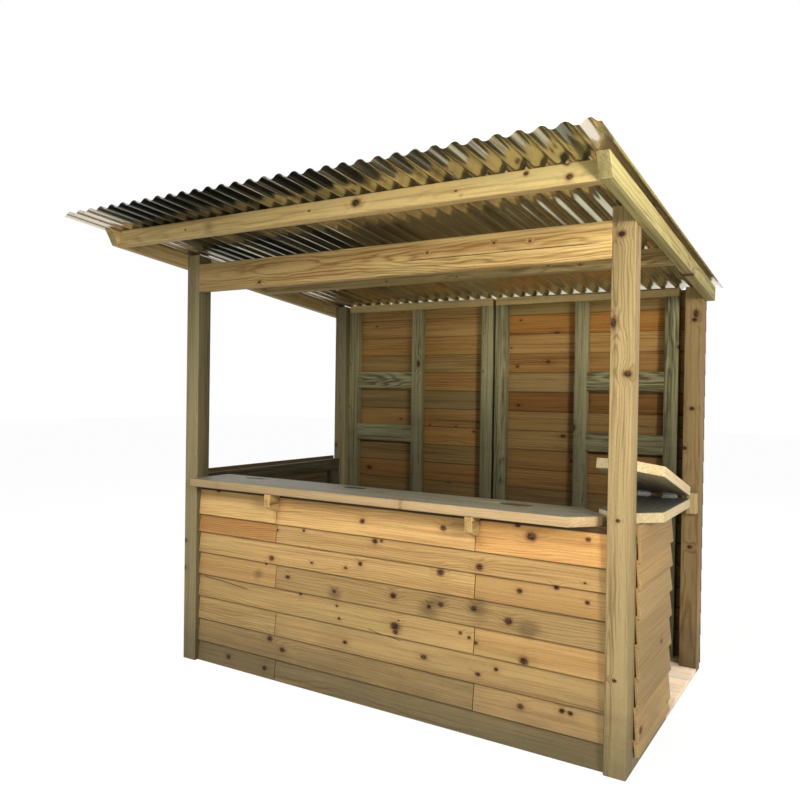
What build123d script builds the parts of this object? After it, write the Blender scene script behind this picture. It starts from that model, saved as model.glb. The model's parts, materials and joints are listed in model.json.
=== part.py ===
from build123d import *

import math
import os

# A timber garden bar on four corner posts. Half-height walls of lapped boards carry a serving counter,
# a full wall closes the back, a flap folds over the side doorway, and corrugated sheets cover the whole
# on rafters that fall to the back.
# Millimetres. X runs along the serving front, Y from front to back, Z up from the ground.
# While modelling, Y is 0 at the faces of the front posts. The finished pieces are moved at the end, so
# that the origin is the middle of the plan.

# Plan, over the outer faces of the posts
bar_width = 2440
bar_depth = 1455

# Corner posts of square section, with eased arrises
post_width = 90
post_easing = 4
post_top_gap = 11

# Sawn stock for rails, studs, rafters and plates
stock_width = 75
stock_thickness = 47

# Roof plane: the tops of the rafters, falling to the back
roof_height = 2231
roof_pitch = 5.94
roof_front_reach = 700
roof_back_reach = 40
roof_side_reach = 80

# Rafters on the posts' outer faces, and the rail and purlin between them
rafter_front_reach = 500
rafter_back_reach = 6
rafter_rake = 53
front_rail_reach = 438
purlin_position = 637

# Corrugated sheets, lapped by whole corrugations, every second one riding over its neighbours
sheet_count = 4
sheet_lap_corrugations = 2
corrugations_per_sheet = 10
corrugation_depth = 18
sheet_thickness = 1.0
sheet_seat = 0.3
sheet_lap_rise = 1.8

# Header beam between the front posts
header_height = 147
header_drop = 64.5

# Lapped boards: a thick lower lip and a thin top edge, both measured out from the frame
board_lip = 25
board_thin = 11
board_gap = 2
raised_board_bottom = 60
front_board_gauges = (110, 122, 124, 120, 120, 112, 96, 156)
side_board_gauges = (55, 130, 120, 130, 115, 110, 110, 147)
back_board_gauge = 118.75

# Front wall under the counter
front_wall_setback = 47
front_left_bay = 550
front_right_bay = 580

# Serving counter, with both corners of its right end cut off at 45 degrees
counter_height = 1004
counter_thickness = 42
counter_overhang = 50
counter_depth = 295
counter_end_gap = 35
counter_front_cut = 110
counter_easing = 4

# Short blocks under the counter's overhang
bracket_width = 39
bracket_height = 92
bracket_reach = 45
bracket_slant = 25
left_bracket_position = 547
right_bracket_position = 580

# Side counter and the flap that continues it over the doorway
side_counter_rise = 16
side_counter_thickness = 43
side_counter_width = 249
side_counter_outreach = 78
side_counter_front_gap = 5
side_counter_inner_cut = 60
side_counter_back_overhang = 43
counter_corner_cut = 118
counter_junction_gap = 5

# Flap: level when closed, folded over the side counter at rest
flap_joint_gap = 5
flap_closed_gap = 10
flap_folded_gap = 13
flap_rest_angle = 14.7

# Two hinges on top of the side counter and the flap
hinge_axis_rise = 5
hinge_width = 60
hinge_knuckle_radius = 4
hinge_pin_radius = 1.5
hinge_bore_radius = 1.8
hinge_leaf_length = 40
hinge_leaf_thickness = 2
hinge_leaf_start = 5.5
hinge_middle_length = 20
hinge_side_play = 0.5
inner_hinge_inset = 41
outer_hinge_inset = 88

# Block on the rear post that carries the closed flap
support_width = 50
support_reach = 45
support_height = 111
support_inset = 5
support_play = 5

# Half-height side walls
side_boards_start = 2
right_boards_end_gap = 32
left_rail_rise = 11
left_boards_rise = 31

# Back wall: two framed panels, fixed to the posts' backs by the boards outside
back_wall_depth = 47
back_panel_gap = 20
back_right_gap = 40
back_plate_height = 47
shelf_rail_height = 108
shelf_rail_thickness = 20
upper_shelf_drop = 416
shelf_spacing = 356

# Floor boards, laid inside the frames and out to the doorway's edge
floor_thickness = 25

# Lines that several pieces share
half_width = bar_width / 2
post_inner = half_width - post_width
rear_post_front = bar_depth - post_width
frame_inner = half_width - stock_thickness
back_wall_front = bar_depth - back_wall_depth
pitch_angle = math.radians(roof_pitch)
counter_underside = counter_height - counter_thickness

side_counter_top = counter_height + side_counter_rise
side_counter_underside = side_counter_top - side_counter_thickness
side_counter_outer = half_width + side_counter_outreach
side_counter_inner = side_counter_outer - side_counter_width
side_counter_front = post_width + side_counter_front_gap

# The flap, folded over, stops short of the front post, and closed, short of the rear one
rest_angle = math.radians(flap_rest_angle)
flap_reach = (
    rear_post_front - flap_closed_gap - post_width - flap_folded_gap
) / (1 + math.cos(rest_angle))
hinge_y = rear_post_front - flap_closed_gap - flap_reach
hinge_z = side_counter_top + hinge_axis_rise
side_counter_back = hinge_y - flap_joint_gap / 2
right_wall_end = side_counter_back - side_counter_back_overhang


def block(x_range, y_range, z_range):
    """A squared piece between two values along each axis."""
    sizes = [high - low for low, high in (x_range, y_range, z_range)]
    centre = [(low + high) / 2 for low, high in (x_range, y_range, z_range)]
    return Pos(*centre) * Box(*sizes)


def span(start, length):
    return (start, start + length)


def roof_underside(y):
    """Height of the rafters' top plane at a distance y behind the front posts' faces."""
    return roof_height - y * math.tan(pitch_angle)


def along_slope(y):
    """Distance down the roof plane, from above the front posts' faces, to a level distance y."""
    return y / math.cos(pitch_angle)


roof_plane = Plane(
    origin=(0, 0, roof_height),
    x_dir=(1, 0, 0),
    z_dir=(0, math.sin(pitch_angle), math.cos(pitch_angle)),
)


def under_roof(piece, gap=0):
    """The piece cut off square to the roof's pitch, a gap below the rafters' top plane."""
    return split(piece, bisect_by=roof_plane.offset(-gap), keep=Keep.BOTTOM)


def outline(points, level, thickness):
    """A flat board of the given plan, its underside at a level."""
    face = make_face(Polyline(*points, close=True))
    return Pos(0, 0, level) * extrude(face, amount=thickness)


def eased_top(board, radius):
    """Rounds the arris round a board's top face."""
    return fillet(board.faces().sort_by(Axis.Z)[-1].edges(), radius)


def corner_post(x_side, y_front):
    section = RectangleRounded(post_width, post_width, post_easing)
    place = Pos(x_side * (half_width - post_width / 2), y_front + post_width / 2, 0)
    return under_roof(place * extrude(section, amount=roof_height), post_top_gap)


def rafter(x_inner):
    """A raked rafter: x_inner is its lower X side."""
    side = Plane(
        origin=(x_inner, 0, roof_height),
        x_dir=(0, math.cos(pitch_angle), -math.sin(pitch_angle)),
        z_dir=(1, 0, 0),
    )
    front = -along_slope(rafter_front_reach)
    back = along_slope(bar_depth + rafter_back_reach)
    points = [
        (front, 0),
        (back, 0),
        (back, -stock_width),
        (front + rafter_rake, -stock_width),
    ]
    return extrude(side * make_face(Polyline(*points, close=True)), amount=stock_thickness)


def rail_on_slope(y_front):
    """A rail between the rafters, flush with their tops."""
    centre = Pos(0, along_slope(y_front) + stock_thickness / 2, -stock_width / 2)
    return roof_plane.location * centre * Box(bar_width, stock_thickness, stock_width)


# Corrugations divide the roof's width evenly
roof_width = bar_width + 2 * roof_side_reach
sheet_step = corrugations_per_sheet - sheet_lap_corrugations
roof_corrugations = sheet_step * sheet_count + sheet_lap_corrugations
corrugation_pitch = roof_width / roof_corrugations
wave_radius = (
    (corrugation_pitch / 4) ** 2 + (corrugation_depth / 2) ** 2
) / corrugation_depth
wave_angle = math.asin(corrugation_pitch / 4 / wave_radius)


def wave_surface(x_start, side):
    """Tangent arcs of a sheet's upper (side 1) or lower (side -1) surface, from valley to valley."""
    arcs = []
    bends = 2 * corrugations_per_sheet
    for bend in range(bends + 1):
        bulge = 1 if bend % 2 else -1
        radius = wave_radius + side * bulge * sheet_thickness / 2
        centre_x = x_start + bend * corrugation_pitch / 2
        centre_z = (corrugation_depth + sheet_thickness) / 2 + bulge * (
            corrugation_depth / 2 - wave_radius
        )
        first = 0 if bend == 0 else -wave_angle
        last = 0 if bend == bends else wave_angle
        arcs.append(
            ThreePointArc(
                *(
                    (centre_x + radius * math.sin(a), centre_z + bulge * radius * math.cos(a))
                    for a in (first, (first + last) / 2, last)
                )
            )
        )
    return arcs


def roof_sheet(index):
    """One corrugated sheet, running the whole slope."""
    x_start = -roof_width / 2 + index * sheet_step * corrugation_pitch
    top = wave_surface(x_start, 1)
    bottom = wave_surface(x_start, -1)
    ends = [Line(top[0] @ 0, bottom[0] @ 0), Line(top[-1] @ 1, bottom[-1] @ 1)]
    section = make_face([*top, *bottom, *ends])
    rise = sheet_seat + (sheet_lap_rise if index % 2 else 0)
    front_edge = Plane(
        origin=(
            0,
            -roof_front_reach + rise * math.sin(pitch_angle),
            roof_underside(-roof_front_reach) + rise * math.cos(pitch_angle),
        ),
        x_dir=(1, 0, 0),
        z_dir=(0, -math.cos(pitch_angle), math.sin(pitch_angle)),
    )
    length = along_slope(roof_front_reach + bar_depth + roof_back_reach)
    return extrude(front_edge * section, amount=-length)


def course_edges(bottom, top, gauges):
    """Lower edges of the board courses, and the top, with the gauges shared out over the wall."""
    share = (top - bottom) / sum(gauges)
    edges = [bottom]
    for gauge in gauges:
        edges.append(edges[-1] + gauge * share)
    return edges


def lapped_boards(start, outward, edges, length):
    """Courses of lapped boards, from a flat back at the start point, thick lip below, thin edge above."""
    points = [(0, edges[-1]), (0, edges[0])]
    for low, high in zip(edges, edges[1:]):
        points.append((board_lip, low))
        points.append((board_thin, high))
    face = make_face(Polyline(*points, close=True))
    wall = Plane(origin=start, x_dir=outward, z_dir=Vector(*outward).cross(Vector(0, 0, 1)))
    return extrude(wall * face, amount=length)


# Front wall
front_wall_back = front_wall_setback + stock_thickness
front_wall = (front_wall_setback, front_wall_back)
left_joint = -post_inner + front_left_bay
right_joint = post_inner - front_right_bay
front_edges = course_edges(0, counter_underside - board_gap, front_board_gauges)


def front_stud(x_start):
    height = (stock_width, counter_underside - stock_width)
    return block(span(x_start, stock_width), front_wall, height)


def front_rail(z_start):
    return block((-post_inner, post_inner), front_wall, span(z_start, stock_width))


def front_stud_starts():
    half = stock_width / 2
    return (-post_inner, left_joint - half, right_joint - half, post_inner - stock_width)


def counter_bracket(x_start):
    """A short block on the top course, its foot slanting back to the boards."""
    top = counter_underside
    bottom = top - bracket_height
    course_low, course_high = front_edges[-2:]

    def board_face(z):
        share = (z - course_low) / (course_high - course_low)
        return front_wall_setback - board_lip - share * (board_thin - board_lip)

    points = [
        (board_face(course_high), course_high),
        (board_face(bottom), bottom),
        (-bracket_reach, bottom + bracket_slant),
        (-bracket_reach, top),
        (board_face(course_high), top),
    ]
    side = Plane(origin=(x_start, 0, 0), x_dir=(0, 1, 0), z_dir=(1, 0, 0))
    return extrude(side * make_face(Polyline(*points, close=True)), amount=bracket_width)


def serving_counter():
    right = post_inner - counter_end_gap
    front = -counter_overhang
    back = front + counter_depth
    # The back corner is cut along the side counter's own cut corner, a gap away
    side_cut = side_counter_inner + side_counter_front + side_counter_inner_cut
    cut_line = side_cut - counter_junction_gap * math.sqrt(2)
    points = [
        (-post_inner, front),
        (right - counter_front_cut, front),
        (right, front + counter_front_cut),
        (right, cut_line - right),
        (cut_line - back, back),
        (-post_inner, back),
    ]
    board = outline(points, counter_underside, counter_thickness)
    return eased_top(board, counter_easing)


def side_counter():
    points = [
        (side_counter_inner, side_counter_front + side_counter_inner_cut),
        (side_counter_inner + side_counter_inner_cut, side_counter_front),
        (side_counter_outer - counter_corner_cut, side_counter_front),
        (side_counter_outer, side_counter_front + counter_corner_cut),
        (side_counter_outer, side_counter_back),
        (side_counter_inner, side_counter_back),
    ]
    board = outline(points, side_counter_underside, side_counter_thickness)
    return eased_top(board, counter_easing)


hinge_line = Axis((0, hinge_y, hinge_z), (1, 0, 0))


def folded(piece):
    """Turns a piece from the closed, level flap to the flap at rest over the side counter."""
    return piece.rotate(hinge_line, 180 - flap_rest_angle)


def flap():
    near = hinge_y + flap_joint_gap / 2
    far = hinge_y + flap_reach
    points = [
        (side_counter_inner, near),
        (side_counter_outer, near),
        (side_counter_outer, far - counter_corner_cut),
        (side_counter_outer - counter_corner_cut, far),
        (side_counter_inner, far),
    ]
    board = outline(points, side_counter_underside, side_counter_thickness)
    return folded(eased_top(board, counter_easing))


def hinge_cylinder(x_range, radius):
    low, high = x_range
    place = Location((low, hinge_y, hinge_z), (0, 90, 0))
    return place * extrude(Circle(radius), amount=high - low)


def hinge_leaf(x_centre, side, knuckles):
    """A leaf on the wood, side -1 on the counter and 1 on the flap, with its knuckles."""
    level = span(side_counter_top, hinge_leaf_thickness)
    near, far = (hinge_y + side * d for d in (hinge_leaf_start, hinge_leaf_start + hinge_leaf_length))
    x_range = (x_centre - hinge_width / 2, x_centre + hinge_width / 2)
    leaf = block(x_range, tuple(sorted((near, far))), level)
    for knuckle in knuckles:
        leaf += block(knuckle, tuple(sorted((hinge_y, near))), level)
        leaf += hinge_cylinder(knuckle, hinge_knuckle_radius)
    return leaf


def hinge(x_centre):
    """Fixed and moving halves of one hinge, in the closed pose."""
    half = hinge_width / 2
    middle = (x_centre - hinge_middle_length / 2, x_centre + hinge_middle_length / 2)
    outer = [
        (x_centre - half, middle[0] - hinge_side_play),
        (middle[1] + hinge_side_play, x_centre + half),
    ]
    fixed = hinge_leaf(x_centre, -1, outer)
    fixed += hinge_cylinder((x_centre - half, x_centre + half), hinge_pin_radius)
    moving = hinge_leaf(x_centre, 1, [middle]) - hinge_cylinder(middle, hinge_bore_radius)
    return fixed, folded(moving)


hinge_centres = (
    side_counter_inner + inner_hinge_inset,
    side_counter_outer - outer_hinge_inset,
)


def flap_support():
    x_range = span(half_width - support_inset - support_width, support_width)
    top = side_counter_underside - support_play
    return block(x_range, (rear_post_front - support_reach, rear_post_front), (top - support_height, top))


# Side walls
def side_stud(x_range, y_start, top):
    return block(x_range, span(y_start, stock_width), (stock_width, top))


def side_rail(x_range, y_range, z_start):
    return block(x_range, y_range, span(z_start, stock_width))


left_frame = (-half_width, -frame_inner)
right_frame = (frame_inner, half_width)
left_run = (post_width, rear_post_front)
right_run = (post_width, right_wall_end)
left_rail_top = counter_height + left_rail_rise


def left_boards():
    top = counter_height + left_boards_rise
    edges = course_edges(raised_board_bottom, top, side_board_gauges)
    start = (-half_width, left_run[0] + side_boards_start, 0)
    return lapped_boards(start, (-1, 0, 0), edges, left_run[1] - left_run[0] - 2 * side_boards_start)


def right_boards():
    edges = course_edges(raised_board_bottom, side_counter_underside - board_gap, side_board_gauges)
    back = right_run[1] - right_boards_end_gap
    front = right_run[0] + side_boards_start
    return lapped_boards((half_width, back, 0), (1, 0, 0), edges, back - front)


# Back wall
back_panel_width = (2 * post_inner - back_panel_gap - back_right_gap) / 2
left_panel = span(-post_inner, back_panel_width)
right_panel = span(left_panel[1] + back_panel_gap, back_panel_width)
back_frame = (back_wall_front, bar_depth)
back_plate_bottom = roof_underside(back_wall_front) - back_plate_height


def back_stud_starts(panel):
    low, high = panel
    return (low, (low + high - stock_width) / 2, high - stock_width)


def back_studs(panel):
    height = (back_plate_height, back_plate_bottom)
    return Compound([block(span(x, stock_width), back_frame, height) for x in back_stud_starts(panel)])


def back_plates(panel):
    bottom = block(panel, back_frame, (0, back_plate_height))
    top = block(panel, back_frame, (back_plate_bottom, roof_height))
    return [bottom, under_roof(top)]


def shelf_rails(x_range):
    """Two boards between studs, flush with their fronts."""
    upper = roof_underside(back_wall_front) - back_plate_height - upper_shelf_drop
    rails = []
    for top in (upper, upper - shelf_spacing):
        y_range = span(back_wall_front, shelf_rail_thickness)
        rails.append(block(x_range, y_range, (top - shelf_rail_height, top)))
    return Compound(rails)


def back_boards(x_range):
    top = roof_underside(bar_depth + board_lip) - board_gap
    courses = math.ceil((top - raised_board_bottom) / back_board_gauge)
    lower = [raised_board_bottom + n * back_board_gauge for n in range(courses)]
    start = (x_range[0], bar_depth, 0)
    return lapped_boards(start, (0, 1, 0), [*lower, top], x_range[1] - x_range[0])


def floor():
    """The floor's plan: notched round the rear posts, and reaching out through the doorway."""
    points = [
        (-frame_inner, front_wall_back),
        (frame_inner, front_wall_back),
        (frame_inner, right_wall_end),
        (half_width, right_wall_end),
        (half_width, rear_post_front),
        (post_inner, rear_post_front),
        (post_inner, back_wall_front),
        (-post_inner, back_wall_front),
        (-post_inner, rear_post_front),
        (-frame_inner, rear_post_front),
    ]
    return outline(points, 0, floor_thickness)


panel_joint = left_panel[1] + back_panel_gap / 2
left_studs_x = back_stud_starts(left_panel)
right_studs_x = back_stud_starts(right_panel)
hinge_halves = [hinge(x) for x in hinge_centres]
bracket_starts = (-post_inner + left_bracket_position - bracket_width / 2,
                  post_inner - right_bracket_position - bracket_width / 2)
header_top = roof_height - header_drop

pieces = {
    "post_front_left": corner_post(-1, 0),
    "post_front_right": corner_post(1, 0),
    "post_rear_left": corner_post(-1, rear_post_front),
    "post_rear_right": corner_post(1, rear_post_front),
    "header_beam": block(
        (-post_inner, post_inner), (0, stock_thickness), (header_top - header_height, header_top)
    ),
    "front_roof_rail": rail_on_slope(-front_rail_reach),
    "mid_purlin": rail_on_slope(purlin_position),
    "rafter_left": rafter(-half_width - stock_thickness),
    "rafter_right": rafter(half_width),
    "floor": floor(),
    "front_studs": Compound([front_stud(x) for x in front_stud_starts()]),
    "front_rails": Compound([front_rail(0), front_rail(counter_underside - stock_width)]),
    "front_cladding": lapped_boards(
        (post_inner, front_wall_setback, 0), (0, -1, 0), front_edges, 2 * post_inner
    ),
    "counter_brackets": Compound([counter_bracket(x) for x in bracket_starts]),
    "counter": serving_counter(),
    "left_studs": Compound(
        [
            side_stud(left_frame, y, left_rail_top - stock_width)
            for y in (
                left_run[0],
                (left_run[0] + left_run[1] - stock_width) / 2,
                left_run[1] - stock_width,
            )
        ]
    ),
    "left_rails": Compound(
        [side_rail(left_frame, left_run, z) for z in (0, left_rail_top - stock_width)]
    ),
    "left_cladding": left_boards(),
    "right_studs": Compound(
        [
            side_stud(right_frame, y, side_counter_underside - stock_width)
            for y in (right_run[0], right_run[1] - stock_width)
        ]
    ),
    "right_rails": Compound(
        [side_rail(right_frame, right_run, z) for z in (0, side_counter_underside - stock_width)]
    ),
    "right_cladding": right_boards(),
    "side_counter": side_counter(),
    "flap": flap(),
    "flap_hinge_fixed": Compound([fixed for fixed, moving in hinge_halves]),
    "flap_hinge_moving": Compound([moving for fixed, moving in hinge_halves]),
    "flap_support_block": flap_support(),
    "back_studs_left": back_studs(left_panel),
    "back_studs_right": back_studs(right_panel),
    "back_plates": Compound([*back_plates(left_panel), *back_plates(right_panel)]),
    "back_cladding_left": back_boards((-half_width, panel_joint - board_gap / 2)),
    "back_cladding_right": back_boards((panel_joint + board_gap / 2, half_width)),
    "shelf_rails_left": shelf_rails((left_studs_x[0] + stock_width, left_studs_x[1])),
    "shelf_rails_right": shelf_rails((right_studs_x[1] + stock_width, right_studs_x[2])),
}
for index in range(sheet_count):
    pieces[f"roof_sheet_{index + 1}"] = roof_sheet(index)

# The middle of the plan, from the lower front edge of the sheets to their upper back edge
roof_top = sheet_seat + sheet_lap_rise + corrugation_depth + sheet_thickness
plan_front = -roof_front_reach + sheet_seat * math.sin(pitch_angle)
plan_back = bar_depth + roof_back_reach + roof_top * math.sin(pitch_angle)
plan_centre = (plan_front + plan_back) / 2
os.makedirs("parts", exist_ok=True)
for name, piece in pieces.items():
    export_step(Pos(0, -plan_centre, 0) * piece, f"parts/{name}.step")
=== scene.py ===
"""A timber garden bar: lapped board walls, serving counters, a folding flap and a corrugated roof.

Sizes are in metres. X runs along the serving front, Y from front to back, Z up from the ground.
"""

from __future__ import annotations

import json
import logging
import math
from dataclasses import dataclass
from enum import Enum
from typing import Any, Sequence

import bpy
import numpy as np
from mathutils import Matrix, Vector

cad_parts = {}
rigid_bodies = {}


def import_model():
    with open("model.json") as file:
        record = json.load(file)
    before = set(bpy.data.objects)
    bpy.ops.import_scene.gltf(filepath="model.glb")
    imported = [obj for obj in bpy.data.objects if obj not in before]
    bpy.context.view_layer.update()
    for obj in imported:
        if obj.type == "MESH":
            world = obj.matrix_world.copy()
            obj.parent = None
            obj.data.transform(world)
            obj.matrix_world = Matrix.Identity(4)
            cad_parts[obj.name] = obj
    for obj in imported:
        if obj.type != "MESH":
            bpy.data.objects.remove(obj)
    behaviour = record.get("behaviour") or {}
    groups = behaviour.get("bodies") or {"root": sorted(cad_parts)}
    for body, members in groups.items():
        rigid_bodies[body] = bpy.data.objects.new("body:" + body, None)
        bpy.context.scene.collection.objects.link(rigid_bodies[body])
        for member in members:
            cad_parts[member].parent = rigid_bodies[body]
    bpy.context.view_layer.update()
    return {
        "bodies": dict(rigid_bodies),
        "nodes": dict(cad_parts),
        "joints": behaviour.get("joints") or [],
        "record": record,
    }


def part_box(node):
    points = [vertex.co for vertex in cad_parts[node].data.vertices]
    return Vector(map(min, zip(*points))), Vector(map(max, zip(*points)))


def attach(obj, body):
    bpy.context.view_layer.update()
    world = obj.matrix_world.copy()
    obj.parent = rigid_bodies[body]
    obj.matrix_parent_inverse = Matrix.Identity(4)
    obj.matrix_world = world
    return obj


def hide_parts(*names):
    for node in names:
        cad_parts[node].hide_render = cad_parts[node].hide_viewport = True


log = logging.getLogger("garden_bar")
Array = np.ndarray
Triple = tuple[float, float, float]
Pair = tuple[float, float]

X_AXIS = np.array([1.0, 0.0, 0.0])
Y_AXIS = np.array([0.0, 1.0, 0.0])
Z_AXIS = np.array([0.0, 0.0, 1.0])
# Between a run's rings, a cut corner of a slab's plan, and how deep a head's rim is sunk
RING_STEP, SLAB_CORNER, HEAD_SUNK = 0.09, 0.004, 0.0006
# Edges sharper than these angles stay sharp
WOOD_SHARP, SHEET_SHARP, HEAD_SHARP = (math.radians(angle) for angle in (38, 60, 30))


class Body(Enum):
    """The two bodies that move against each other."""

    BAR = "bar"
    FLAP = "flap"


# Shader sums


class Term:
    """A value that changes over a surface, so that sums on it read as sums."""

    def __init__(self, shader: "Nodes", socket: bpy.types.NodeSocket) -> None:
        """Keeps the socket and the nodes it belongs to."""
        self.shader = shader
        self.socket = socket

    def _sum(self, operation: str, *values: Any) -> "Term":
        """Adds one Math node.

        Args:
            operation: The Math node's operation.
            values: Its inputs in order, terms or numbers.

        Returns:
            The node's result.
        """
        inputs = dict(enumerate(values))
        node = self.shader.node("ShaderNodeMath", {"operation": operation}, inputs)
        return Term(self.shader, node.outputs[0])

    def __add__(self, other: Any) -> "Term":
        """Sum."""
        return self._sum("ADD", self, other)

    __radd__ = __add__

    def __sub__(self, other: Any) -> "Term":
        """Difference."""
        return self._sum("SUBTRACT", self, other)

    def __rsub__(self, other: Any) -> "Term":
        """Difference the other way round."""
        return self._sum("SUBTRACT", other, self)

    def __mul__(self, other: Any) -> "Term":
        """Product."""
        return self._sum("MULTIPLY", self, other)

    __rmul__ = __mul__

    def __truediv__(self, other: Any) -> "Term":
        """Quotient."""
        return self._sum("DIVIDE", self, other)

    def __pow__(self, other: Any) -> "Term":
        """Power."""
        return self._sum("POWER", self, other)

    def least(self, other: Any) -> "Term":
        """The smaller of two values."""
        return self._sum("MINIMUM", self, other)

    def sine(self) -> "Term":
        """Sine of the value in radians."""
        return self._sum("SINE", self)

    def band(self, low: float, high: float) -> "Term":
        """A smooth step, 0 at low and 1 at high.

        Args:
            low: Value where the result is 0.
            high: Value where the result is 1.

        Returns:
            The step, held between 0 and 1.
        """
        turned = low > high
        ends = {1: min(low, high), 2: max(low, high), 3: float(turned), 4: float(not turned)}
        node = self.shader.node(
            "ShaderNodeMapRange", {"interpolation_type": "SMOOTHSTEP"}, {0: self, **ends}
        )
        return Term(self.shader, node.outputs[0])


class Nodes:
    """A node tree, to which one method adds every node."""

    def __init__(self, tree: bpy.types.NodeTree) -> None:
        """Takes up the tree."""
        self.tree = tree

    def node(self, kind: str, settings: dict[str, Any], values: dict[Any, Any]) -> bpy.types.Node:
        """Adds a node.

        Args:
            kind: The node's type.
            settings: Its properties, set before its sockets.
            values: Socket name or number to a value, a term, a node's output.

        Returns:
            The node.
        """
        made = self.tree.nodes.new(kind)
        for name, setting in settings.items():
            setattr(made, name, setting)
        for key, value in values.items():
            self.feed(made.inputs[key], value)
        return made

    def feed(self, socket: bpy.types.NodeSocket, value: Any) -> None:
        """Links a term or an output to a socket, or sets a plain value on it.

        Args:
            socket: The socket.
            value: A term, an output, a number or a colour.
        """
        if isinstance(value, Term):
            value = value.socket
        if isinstance(value, bpy.types.NodeSocket):
            self.tree.links.new(value, socket)
        elif isinstance(value, tuple) and len(value) == 3 and socket.type == "RGBA":
            socket.default_value = (*value, 1.0)
        else:
            socket.default_value = value


class Shader(Nodes):
    """One material's nodes, ending in a principled surface."""

    def __init__(self, name: str) -> None:
        """Makes a material.

        Args:
            name: Its name.
        """
        self.material = bpy.data.materials.new(name)
        self.material.use_nodes = True
        super().__init__(self.material.node_tree)
        self.surface = self.tree.nodes["Principled BSDF"]

    def attribute(self, name: str) -> bpy.types.NodeSocket:
        """A piece's own vector attribute."""
        return self.node("ShaderNodeAttribute", {"attribute_name": name}, {}).outputs["Vector"]

    def object_place(self) -> bpy.types.NodeSocket:
        """Object coordinates, which are the bar's own."""
        return self.node("ShaderNodeTexCoord", {}, {}).outputs["Object"]

    def parts(self, vector: Any) -> tuple[Term, Term, Term]:
        """A vector's three numbers."""
        split = self.node("ShaderNodeSeparateXYZ", {}, {0: vector})
        first, second, third = (Term(self, out) for out in split.outputs)
        return first, second, third

    def stretch(self, vector: Any, scale: Triple) -> bpy.types.NodeSocket:
        """A vector multiplied by three plain numbers."""
        done = self.node("ShaderNodeVectorMath", {"operation": "MULTIPLY"}, {0: vector, 1: scale})
        return done.outputs[0]

    def length(self, vector: Any) -> Term:
        """A vector's length."""
        done = self.node("ShaderNodeVectorMath", {"operation": "LENGTH"}, {0: vector})
        return Term(self, done.outputs["Value"])

    def noise(self, vector: Any, scale: Triple, detail: float = 2.0) -> Term:
        """Soft noise round 0.5.

        Args:
            vector: Place on the surface.
            scale: Waves per metre along each direction.
            detail: Octaves.

        Returns:
            The noise, from about 0 to 1.
        """
        values = {"Vector": self.stretch(vector, scale), "Scale": 1.0, "Detail": detail}
        return Term(self, self.node("ShaderNodeTexNoise", {}, values).outputs[0])

    def mixed(self, share: Any, first: Any, second: Any,
              kind: str = "MIX") -> bpy.types.NodeSocket:
        """Mixes two colours.

        Args:
            share: Share of the second colour.
            first: A colour or an output.
            second: A colour or an output.
            kind: The mix's way, such as MULTIPLY.

        Returns:
            The colour's output.
        """
        settings = {"data_type": "RGBA", "blend_type": kind, "clamp_factor": True}
        return self.node("ShaderNodeMix", settings, {0: share, 6: first, 7: second}).outputs[2]

    def grey(self, value: Any) -> bpy.types.NodeSocket:
        """A value as a grey colour."""
        joined = self.node("ShaderNodeCombineColor", {}, {0: value, 1: value, 2: value})
        return joined.outputs[0]

    def raise_by(self, height: Term, distance: float, strength: float) -> None:
        """Feeds a height to the surface's normal through a Bump node.

        Args:
            height: The height, in shares of the distance.
            distance: The distance in metres.
            strength: Share of the bump that shows.
        """
        values = {"Height": height, "Distance": distance, "Strength": strength}
        bump = self.node("ShaderNodeBump", {}, values)
        self.feed(self.surface.inputs["Normal"], bump.outputs[0])


# Finishes


@dataclass(frozen=True)
class Knot:
    """A knot or a spot by its place and its half width, running through where it has no y."""

    x: float
    z: float
    size: float
    y: float | None = None


@dataclass(frozen=True)
class Shake:
    """A long drying crack on the serving front, from one place to another."""

    start: Pair
    end: Pair
    width: float


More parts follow.
